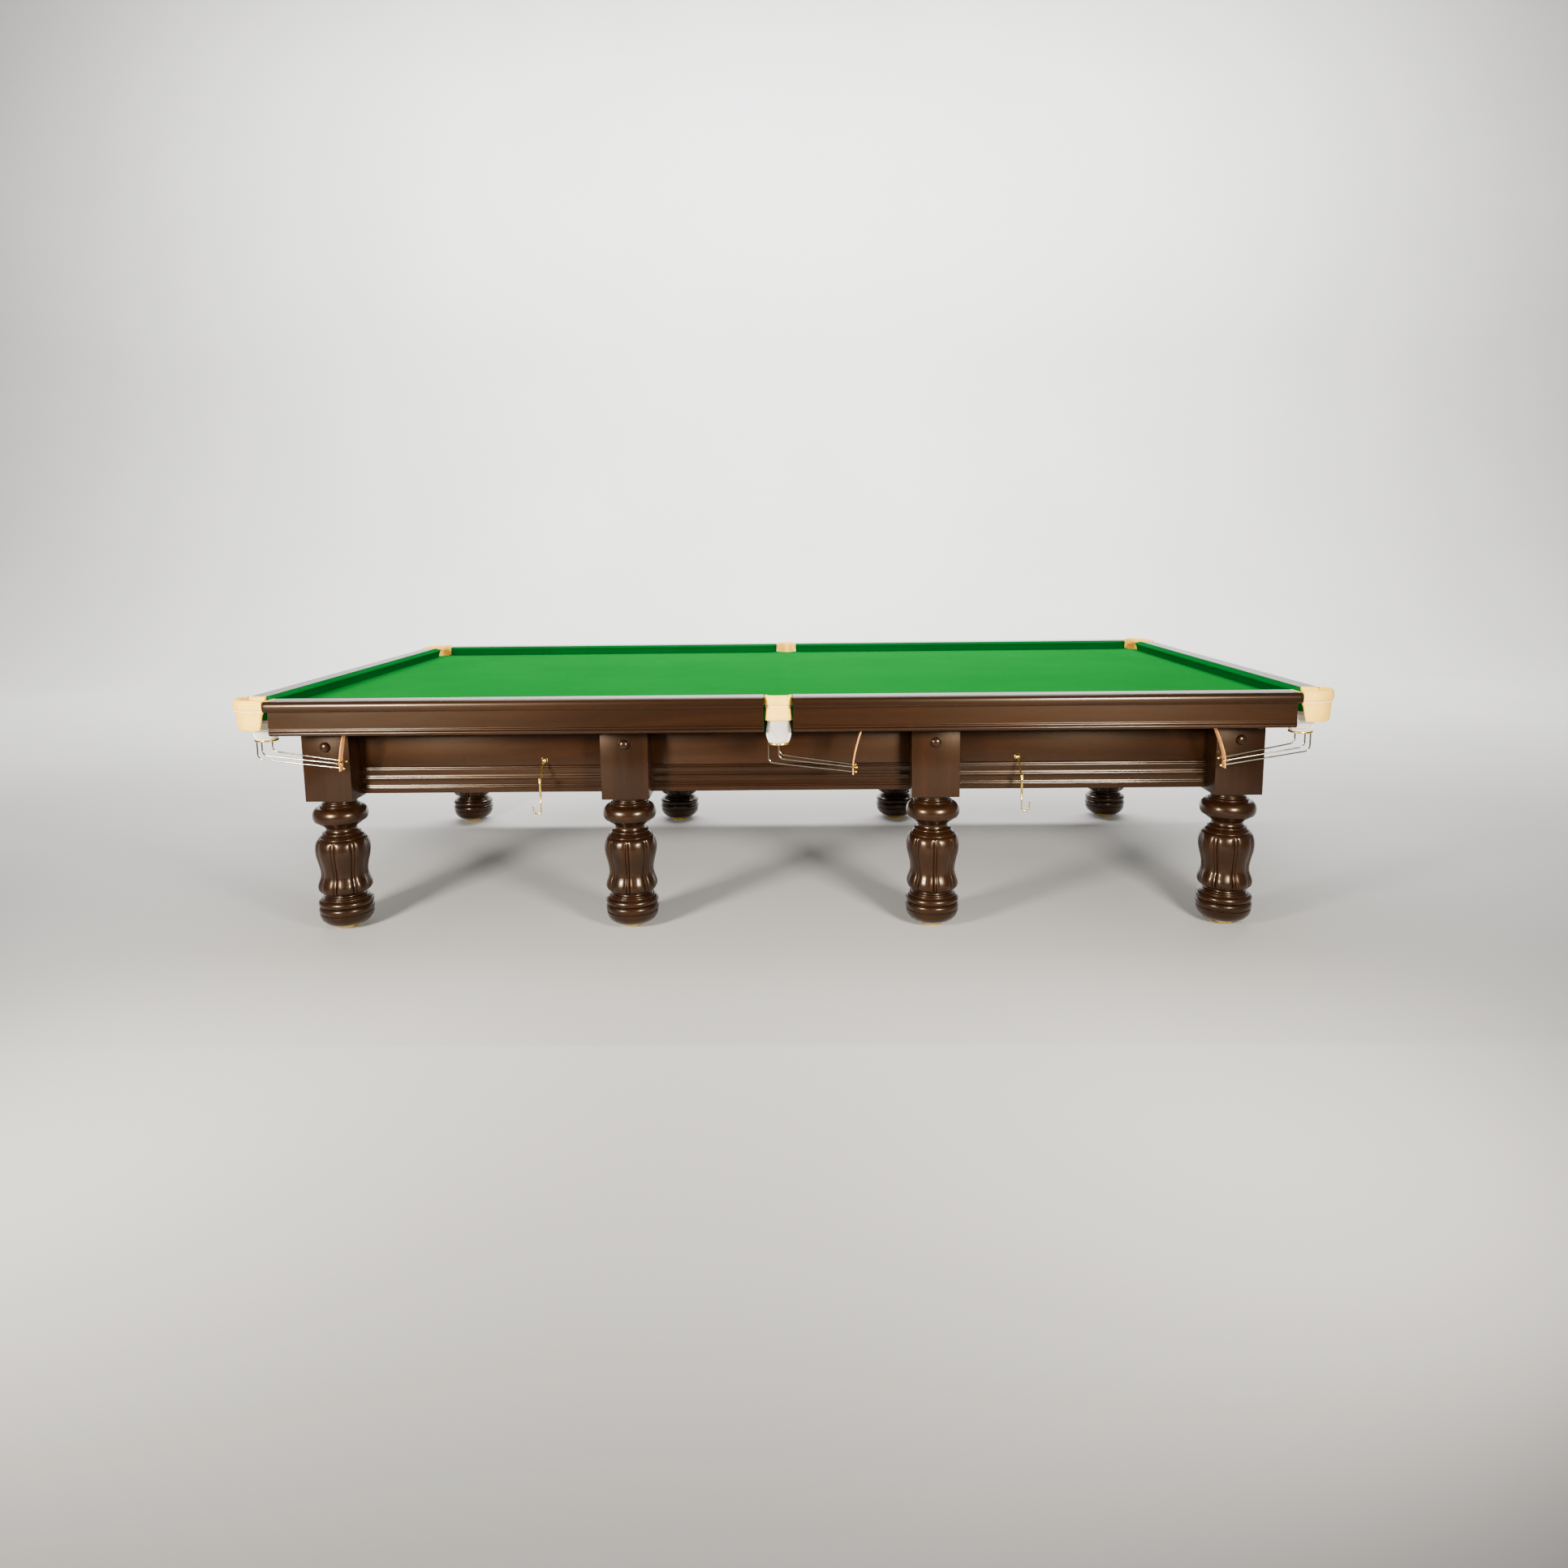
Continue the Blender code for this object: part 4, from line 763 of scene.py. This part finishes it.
def swept(bm, outline, stations):
    """Carries a section round the (place, angle) stations; returns its row of points at each."""
    place, angle = stations[0]
    aim = Matrix.Translation(place) @ Matrix.Rotation(angle, 4, "Z")
    face = bm.faces.new([bm.verts.new(aim @ Vector((out, 0, z))) for out, z in outline])
    rows = [list(face.verts)]
    for (here, old), (there, new) in zip(stations, stations[1:]):
        swing = Matrix.Rotation(new - old, 4, "Z")
        face = extended(bm, face, Matrix.Translation(there) @ swing @ Matrix.Translation(-here))
        rows.append(list(face.verts))
    return rows


# How the roll sinks, and how the flap is trimmed away, from the tip of a corner's arm to its bend
arm_sink = [(0, 0.90), (0.7, 1.0), (1, 1.0)]
arm_trim = [(0, 0.93), (0.09, 0.93), (0.40, 0.0), (1, 0.0)]
welt_outline = swell((SEAM_OUT + 0.0026, SEAM - 0.0008), WELT_RADIUS, WELT_RADIUS, 0, 330, 11)
for name, kind, centre, turn, flip in pockets:
    hub = Vector((*centre, 0))
    stations, shares = [], []
    if kind == "middle":
        flap, foot_out, first, sweep = MIDDLE_FLAP, MIDDLE_FLAP_OUT, math.pi, math.pi
        radius, square, arm, tuck = MIDDLE_RADIUS, MIDDLE_SQUARE, MIDDLE_ARM + MIDDLE_SQUARE, 0.0
    else:
        flap, foot_out, first, sweep = CORNER_FLAP, CORNER_FLAP_OUT, -math.pi / 2, math.pi / 2
        radius, square, arm, tuck = CORNER_RADIUS, 0.0, CORNER_ARM, ARM_TUCK
    for step in range(-ARM_STEPS, BEND_STEPS + ARM_STEPS + 1):
        bend = min(max(step / BEND_STEPS, 0), 1)
        angle = first + sweep * bend
        over = max(-step / ARM_STEPS, (step - BEND_STEPS) / ARM_STEPS, 0)
        outward = Matrix.Rotation(angle, 3, "Z") @ Vector((1, 0, 0))
        onward = Matrix.Rotation(angle, 3, "Z") @ Vector((0, 1 if step > 0 else -1, 0))
        squared = Vector(((bend > 0.5) - (bend < 0.5), -1, 0)) * square
        place = hub + squared + outward * (radius - square - tuck * over) + onward * arm * over
        stations.append((place, angle))
        shares.append((math.sin(math.pi * bend), 1 - over))
    bm = bmesh.new()
    rows = swept(bm, leather_outline(flap, foot_out), stations)
    for row, (front, share) in zip(rows, shares):
        if kind == "middle":
            sink, trim = 0.86 + 0.115 * min(1.0, 2.2 * front), 0.0
        else:
            sink, trim = along_curve(arm_sink, share), along_curve(arm_trim, share)
        for vert in row:
            if vert.co.z > SEAM:
                vert.co.z = SEAM + (vert.co.z - SEAM) * sink
            else:
                vert.co.z += max(0.0, SEAM - 0.0045 - vert.co.z) * trim
    settle(bm, seated(turn, flip))
    finished(bm, "hide_collar_" + name, hide, nodes=["pocket_leather_" + name], crease=60)
    welt = bmesh.new()
    swept(welt, welt_outline, stations)
    settle(welt, seated(turn, flip))
    finished(welt, "collar_welt_" + name, piping, crease=60)
    if kind == "corner":
        ears = bmesh.new()
        bend = (EAR_THICKNESS - EAR_ROUND, EAR_TOP - EAR_ROUND)
        ear = [(0.0, EAR_TOP), (0.0, EAR_FOOT), (EAR_THICKNESS, EAR_FOOT)]
        ear += swell(bend, EAR_ROUND, EAR_ROUND, 0, 90, 8)
        on_front_rail = [(NOSE_X - CORNER_END + out, -NOSE_Y - RAIL_BACK, z) for out, z in ear]
        on_end_rail = [(NOSE_X + RAIL_BACK, CORNER_END - NOSE_Y - out, z) for out, z in ear]
        drawn_out(ears, on_front_rail, Matrix.Translation((0, RAIL_BACK - EAR_REACH, 0)))
        drawn_out(ears, on_end_rail, Matrix.Translation((EAR_REACH - RAIL_BACK, 0, 0)))
        softened(ears, 0.0012)
        settle(ears, seated(turn, flip))
        finished(ears, "collar_ears_" + name, hide, crease=60)
    stitches = bmesh.new()
    stitch_height = SEAM - STITCH_DROP
    face_out = Vector((flap_face(flap, foot_out, stitch_height) + 0.0002, 0, 0))
    path = [place + Matrix.Rotation(angle, 3, "Z") @ face_out for place, angle in stations]
    carried = STITCH_PITCH / 2
    for here, there in zip(path, path[1:]):
        stretch = (there - here).length
        while carried < stretch:
            spot = here.lerp(there, carried / stretch)
            way = math.atan2(there.y - here.y, there.x - here.x)
            lie = Matrix.Translation((spot.x, spot.y, stitch_height)) @ Matrix.Rotation(way, 4, "Z")
            shape = lie @ Matrix.Diagonal(STITCH_SIZE)
            bmesh.ops.create_uvsphere(stitches, u_segments=6, v_segments=4, radius=1.0, matrix=shape)
            carried += STITCH_PITCH
        carried -= stretch
    settle(stitches, seated(turn, flip))
    finished(stitches, "collar_stitches_" + name, thread, crease=80)

# Nets. A knotted cotton net hangs from each pocket's hole, swells a little and draws in to the brass
# ring of the runner. It is open at the bottom, over the runner's rods.
NET_STRING = 0.0019
NET_STRANDS = 50
NET_ROW = 0.0042
NET_HEAD = {"corner": 0.8030, "middle": 0.8375}
NET_THROAT = 0.8010
RING_Z = {"corner": 0.742, "middle": 0.722}
NET_BELLY = {"corner": 0.0405, "middle": 0.0426}
RING_RADIUS = 0.0365
RING_WIRE = 0.004

string, tree, shader = new_finish("cotton_string", {"Specular IOR Level": 0.2, "Sheen Weight": 0.2})
strand = noise(tree, pattern_space(tree, (1, 1, 2.5)), 1300.0, 3.0)
patterned(tree, shader, "Base Color", strand, [(0.25, (0.80, 0.77, 0.70)), (0.70, (0.97, 0.96, 0.93))])
patterned(tree, shader, "Roughness", strand, [(0.3, grey(0.95)), (0.7, grey(0.82))])
raise_grain(tree, shader, strand, 0.0005, 0.5)
for name, kind, centre, turn, flip in pockets:
    foot = RING_Z[kind] + RING_WIRE + 0.0010
    fall = NET_THROAT - foot
    belly = NET_BELLY[kind]
    swelling = [(foot, 0.0350), (foot + fall * 0.10, 0.0380), (foot + fall * 0.30, belly)]
    swelling += [(foot + fall * 0.55, belly), (foot + fall * 0.85, 0.0392), (NET_THROAT, 0.0382), (1, 0.0378)]
    hang = NET_HEAD[kind] - foot
    rows = round(hang / NET_ROW)
    climb = hang / rows
    bm = bmesh.new()
    ring = bmesh.ops.create_circle(bm, segments=NET_STRANDS, radius=along_curve(swelling, foot))["verts"]
    bmesh.ops.translate(bm, verts=ring, vec=(0, 0, foot))
    edges = list(bm.edges)
    level_edges = list(edges)
    for row in range(1, rows + 1):
        made = bmesh.ops.extrude_edge_only(bm, edges=edges)["geom"]
        ring = [part for part in made if isinstance(part, bmesh.types.BMVert)]
        edges = [part for part in made if isinstance(part, bmesh.types.BMEdge)]
        here = foot + row * climb
        wider = along_curve(swelling, here) / along_curve(swelling, here - climb)
        step = Matrix.Translation((0, 0, climb)) @ Matrix.Diagonal((wider, wider, 1, 1))
        half_turn = Matrix.Rotation(math.pi / NET_STRANDS, 4, "Z")
        bmesh.ops.transform(bm, matrix=step @ half_turn, verts=ring)
        edges = [edge for edge in edges if all(vert in ring for vert in edge.verts)]
        if row < rows:
            level_edges += edges
    for face in list(bm.faces):
        low = sorted(face.verts, key=lambda vert: vert.co.z)
        lower, upper = low[:2], low[2:]
        pairs = [(a, b) for a in lower for b in upper if bm.edges.get((a, b)) is None]
        short = min(pairs, key=lambda pair: (pair[0].co - pair[1].co).length)
        bmesh.utils.face_split(face, short[0], short[1])
    inner = [edge for edge in level_edges if edge.is_valid and len(edge.link_faces) == 2]
    bmesh.ops.dissolve_edges(bm, edges=inner, use_verts=False)
    place = Matrix.Translation((*centre, 0))
    settle(bm, seated(turn, flip) @ place)
    net = finished(
        bm, "string_net_" + name, string, nodes=["pocket_net_" + name], crease=180
    )
    wire = net.modifiers.new("strings", "WIREFRAME")
    wire.thickness = NET_STRING
    wire.use_even_offset = False
    wire.use_boundary = True

# Runners. Under each net a brass ring carries three plated rods that slope away under the rail, to
# a hide strap that hangs from the table and holds their far ends.
ROD_RADIUS = 0.0027
ROD_BEND = 0.020
ROD_SIDES = 12
ROD_BEND_STEPS = 8
SIDE_DROP = 0.049
LOW_DROP = 0.070
ROD_FALL = 0.036
ROD_SPREAD = 0.023
RUN_LENGTH = 0.258
ROD_TAIL = 0.010
STRAP_HALF = 0.014
STRAP_THICKNESS = 0.0032
STRAP_TOP = {"corner": 0.8012, "middle": 0.7677}
STRAP_LEAN = 0.030
FRONT_RIGHT_LEAN = 0.060
FRONT_RIGHT_FALL = 0.050
RING_STEPS = 48
ROD_HEAD = 0.0050
ROD_STUD = 0.0044
BAR_HALF = 0.0295
BAR_RADIUS = 0.0034

# Painted reflection: the plating is coloured much darker than bright plate, standing in for the dark
# surroundings it reflects.
plated, tree, shader = new_finish("plated_rod_painted_reflection", {"Metallic": 1.0})
clouds = noise(tree, pattern_space(tree, (1, 1, 1)), 70.0, 4.0, 0.6)
patterned(tree, shader, "Base Color", clouds, [(0.3, (0.24, 0.21, 0.16)), (0.7, (0.40, 0.36, 0.28))])
patterned(tree, shader, "Roughness", clouds, [(0.3, grey(0.26)), (0.7, grey(0.12))])
strap_hide = leather_finish("strap_hide", (0.66, 0.31, 0.10), (0.50, 0.20, 0.055))


def bent_rod(bm, route, radius, bend):
    """A round rod along a route, with its corners bent; its ends are closed."""
    points = [Vector(point) for point in route]
    path = [points[0]]
    for before, corner, after in zip(points, points[1:], points[2:]):
        into, out = (before - corner).normalized(), (after - corner).normalized()
        half = into.angle(out) / 2
        hub = corner + (into + out).normalized() * bend / math.sin(half)
        start = (corner + into * bend / math.tan(half) - hub).normalized()
        end = (corner + out * bend / math.tan(half) - hub).normalized()
        for step in range(ROD_BEND_STEPS + 1):
            path.append(hub + start.slerp(end, step / ROD_BEND_STEPS) * bend)
    path.append(points[-1])
    ways = [(b - a).normalized() for a, b in zip(path, path[1:])]
    aim = Vector((0, 0, 1)).rotation_difference(ways[0]).to_matrix().to_4x4()
    start = Matrix.Translation(path[0]) @ aim
    disc = bmesh.ops.create_circle(bm, segments=ROD_SIDES, radius=radius, cap_ends=True, matrix=start)
    face = disc["verts"][0].link_faces[0]
    for index, (here, there) in enumerate(zip(path, path[1:])):
        after = ways[min(index + 1, len(ways) - 1)]
        lean = ways[index].rotation_difference(after).to_matrix().to_4x4()
        face = extended(bm, face, Matrix.Translation(there) @ lean @ Matrix.Translation(-here))


for name, kind, centre, turn, flip in pockets:
    ring_z = RING_Z[kind]
    way = 1 if kind == "middle" else -1
    place = seated(turn, flip) @ Matrix.Translation((*centre, 0)) @ Matrix.Diagonal((way, 1, 1, 1))
    end = RUN_LENGTH + ROD_TAIL
    fall = FRONT_RIGHT_FALL if name == "front_right" else ROD_FALL
    lean = FRONT_RIGHT_LEAN if name == "front_right" else STRAP_LEAN
    low = ring_z - LOW_DROP
    routes = [[(-RING_RADIUS, 0, ring_z), (-RING_RADIUS, 0, low), (end, 0, low - fall)]]
    for side in (-1, 1):
        near = side * RING_RADIUS
        low = ring_z - SIDE_DROP
        routes.append([(0, near, ring_z), (0, near, low), (end, side * ROD_SPREAD, low - fall)])
    rods = bmesh.new()
    for route in routes:
        bent_rod(rods, route, ROD_RADIUS, ROD_BEND)
    settle(rods, place)
    finished(rods, "runner_rods_" + name, plated, nodes=["pocket_runner_" + name], crease=50)
    fittings = bmesh.new()
    wire = swell((RING_RADIUS, ring_z), RING_WIRE, RING_WIRE, 0, 360, 12)
    turned(fittings, wire, RING_STEPS)
    merged(fittings)
    for route in routes:
        foot, tip = Vector(route[0]), Vector(route[-1])
        for spot, size, long in ((foot, ROD_HEAD, 1.0), (tip, ROD_STUD, 1.3)):
            shape = Matrix.Translation(spot) @ Matrix.Diagonal((long, 1, 1, 1))
            bmesh.ops.create_uvsphere(fittings, u_segments=14, v_segments=8, radius=size, matrix=shape)
    side_end = ring_z - SIDE_DROP - fall * RUN_LENGTH / end
    low_end = ring_z - LOW_DROP - fall * RUN_LENGTH / end
    bar = [(RUN_LENGTH, -BAR_HALF, side_end), (RUN_LENGTH, BAR_HALF, side_end)]
    bent_rod(fittings, bar, BAR_RADIUS, ROD_BEND)
    settle(fittings, place)
    finished(fittings, "runner_ring_" + name, brass, crease=50)
    strap = bmesh.new()
    bow = [(RUN_LENGTH, low_end - 0.010), (RUN_LENGTH, low_end), (RUN_LENGTH, side_end)]
    tall = STRAP_TOP[kind] - side_end
    for share in (0.15, 0.35, 0.55, 0.78, 1.0):
        bow.append((RUN_LENGTH + lean * share**1.4, side_end + tall * share))
    half = STRAP_THICKNESS / 2
    loop = [(x - half, -STRAP_HALF, z) for x, z in bow]
    loop += [(x + half, -STRAP_HALF, z) for x, z in reversed(bow)]
    drawn_out(strap, loop, Matrix.Translation((0, 2 * STRAP_HALF, 0)))
    softened(strap, 0.0008)
    settle(strap, place)
    finished(strap, "runner_strap_" + name, strap_hide, crease=40)

# Hooks. On the front frame rail two brass roses hold curved arms, and a hook swivels in the
# collar at the end of each arm.
HOOK_X = 0.868
FRAME_FACE = -0.7673
ROSE_Z = 0.6274
ARM_REACH = 0.083
ARM_DROP = 0.058
COLLAR_HALF = 0.006
SHANK_RADIUS = 0.0029
SHANK_END = 0.110
BOW_RADIUS = 0.0125
ARM_RADIUS = 0.0031
ARM_BEND = 0.011
TIP_RADIUS = 0.0034
ROSE_STEPS = 32
HOOK_STEPS = 28

rose_profile = [(0, 0), (0.0124, 0), (0.0125, 0.0012), (0.0118, 0.0022), (0.0108, 0.0026)]
rose_profile += quarter_up((0.0098, 0.0030), (0, 0.0118), 8)
collar_side = [(0.0056, 0.0018), (0.0065, 0.0030), (0.0065, 0.0048)]
collar_side += [(0.0058, COLLAR_HALF), (0.0034, COLLAR_HALF)]
collar_profile = [(radius, -height) for radius, height in reversed(collar_side)]
collar_profile += [*collar_side, (0.0034, -COLLAR_HALF)]
head_profile = [(0, 0.0063), (0.0052, 0.0063), (0.0055, 0.0072), (0.0052, 0.0086)]
head_profile += [(0.0036, 0.0098), (0, 0.0103)]
sleeve_profile = [(0, -0.0823), (0.0036, -0.0823), (0.0045, -0.0812), (0.0045, -0.0790), (0.0040, -0.0780)]
sleeve_profile += [(0.0040, -0.0120), (0.0045, -0.0110), (0.0045, -0.0070), (0.0040, -0.0063), (0, -0.0063)]
for name, side in (("left", -1), ("right", 1)):
    arm = bmesh.new()
    turned(arm, rose_profile, ROSE_STEPS)
    settle(arm, Matrix.Rotation(math.pi / 2, 4, "X"))
    route = [(0, -0.006, 0), (0, -0.030, -0.008)]
    route += [(0, -0.066, -ARM_DROP), (0, -ARM_REACH + 0.0052, -ARM_DROP)]
    bent_rod(arm, route, ARM_RADIUS, ARM_BEND)
    collar = bmesh.new()
    turned(collar, collar_profile, HOOK_STEPS)
    joined(arm, collar, Matrix.Translation((0, -ARM_REACH, -ARM_DROP)))
    settle(arm, Matrix.Translation((side * HOOK_X, FRAME_FACE, ROSE_Z)))
    finished(arm, "hook_arm_" + name, brass, nodes=["hook_bracket_" + name], crease=50)
    hook = bmesh.new()
    turned(hook, head_profile, HOOK_STEPS)
    turned(hook, sleeve_profile, HOOK_STEPS)
    tip = (2 * BOW_RADIUS + 0.004, 0, -SHANK_END + 0.016)
    low = -SHANK_END - BOW_RADIUS
    shank = [(0, 0, 0.0070), (0, 0, low), (2 * BOW_RADIUS, 0, low), tip]
    bent_rod(hook, shank, SHANK_RADIUS, BOW_RADIUS - 0.0005)
    at_tip = Matrix.Translation(tip)
    bmesh.ops.create_uvsphere(hook, u_segments=14, v_segments=8, radius=TIP_RADIUS, matrix=at_tip)
    axis = Matrix.Translation((side * HOOK_X, FRAME_FACE - ARM_REACH, ROSE_Z - ARM_DROP))
    settle(hook, axis @ Matrix.Diagonal((side, 1, 1, 1)))
    finished(hook, "swivel_hook_" + name, brass, "hook_" + name, ["hook_" + name], crease=50)

# Studio. A pale floor curves up into a wall behind the table. Soft lights stand in front, above and
# behind, and the camera stands where the photograph was taken from.
FLOOR_HALF_WIDTH = 40
FLOOR_HALF_DEPTH = 20
FLOOR_BACK = 10
WALL_HEIGHT = 16
COVE_RADIUS = 4.0

floor_finish, tree, shader = new_finish("pale_floor", {"Roughness": 0.9, "Specular IOR Level": 0.1})
tone = noise(tree, pattern_space(tree, (1, 1, 1)), 0.6, 2.0)
patterned(tree, shader, "Base Color", tone, [(0.3, grey(0.34)), (0.7, grey(0.36))])
bm = bmesh.new()
ground = Matrix.Diagonal((FLOOR_HALF_WIDTH, FLOOR_HALF_DEPTH, 1, 1))
bmesh.ops.create_grid(bm, x_segments=1, y_segments=1, size=1.0, matrix=ground)
bmesh.ops.translate(bm, verts=bm.verts, vec=(0, FLOOR_BACK - FLOOR_HALF_DEPTH, 0))
back = [edge for edge in bm.edges if all(vert.co.y > 0 for vert in edge.verts)]
wall = bmesh.ops.extrude_edge_only(bm, edges=back)["geom"]
wall_top = [part for part in wall if isinstance(part, bmesh.types.BMVert)]
bmesh.ops.translate(bm, verts=wall_top, vec=(0, 0, WALL_HEIGHT))
rounded(bm, back, COVE_RADIUS, 24)
bmesh.ops.recalc_face_normals(bm, faces=bm.faces)
mesh = bpy.data.meshes.new("floor")
bm.to_mesh(mesh)
bm.free()
mesh.shade_smooth()
mesh.materials.append(floor_finish)
floor = bpy.data.objects.new("floor", mesh)
bpy.context.collection.objects.link(floor)

world = bpy.data.worlds.new("studio")
bpy.context.scene.world = world
world.use_nodes = True
sky = world.node_tree.nodes["Background"]
sky.inputs["Color"].default_value = (1.0, 0.985, 0.96, 1.0)
sky.inputs["Strength"].default_value = 0.24


def soft_light(name, place, target, size, power, colour, spread=180):
    """A flat studio light that points at a target."""
    lamp = bpy.data.lights.new(name, "AREA")
    lamp.shape = "RECTANGLE"
    lamp.size, lamp.size_y = size
    lamp.energy = power
    lamp.color = colour
    lamp.spread = math.radians(spread)
    light = bpy.data.objects.new(name, lamp)
    light.location = place
    light.rotation_euler = (Vector(target) - Vector(place)).to_track_quat("-Z", "Y").to_euler()
    bpy.context.collection.objects.link(light)


soft_light("left_lamp", (-2.5, -3.3, 1.45), (-0.4, -0.8, 0.65), (0.7, 0.42), 178, (1.0, 0.92, 0.80), 120)
soft_light("right_lamp", (1.8, -3.3, 1.45), (0.2, -0.8, 0.65), (0.7, 0.42), 140, (1.0, 0.92, 0.80), 120)
soft_light("overhead", (0, 0.3, 4.2), (0, 0, 0.85), (4.5, 2.5), 160, (1.0, 0.98, 0.95))
soft_light("backdrop_lamp", (0, 4.5, 7.5), (0, 10.0, 2.0), (14, 2), 7500, (1.0, 0.98, 0.95))

PHOTO_SIZE = 1932
FOCAL_PIXELS = 1285.1
AXIS_ROW = 853.15
CAMERA_PLACE = (0.0847, -4.5232, 1.4027)
CAMERA_ANGLES = (-1.035, 8.033, 0.676)
yaw, pitch, roll = (math.radians(angle) for angle in CAMERA_ANGLES)
forward = Vector((math.sin(yaw) * math.cos(pitch), math.cos(yaw) * math.cos(pitch), -math.sin(pitch)))
level = Vector((math.cos(yaw), -math.sin(yaw), 0))
down = forward.cross(level)
across = level * math.cos(roll) + down * math.sin(roll)
below = down * math.cos(roll) - level * math.sin(roll)
camera = bpy.data.objects.new("camera", bpy.data.cameras.new("camera"))
camera.data.sensor_width = 36.0
camera.data.lens = FOCAL_PIXELS / PHOTO_SIZE * camera.data.sensor_width
camera.data.shift_y = -(PHOTO_SIZE / 2 - AXIS_ROW) / PHOTO_SIZE
turned_to = Matrix((across, -below, -forward)).transposed().to_4x4()
camera.matrix_world = Matrix.Translation(CAMERA_PLACE) @ turned_to
bpy.context.collection.objects.link(camera)
bpy.context.scene.camera = camera
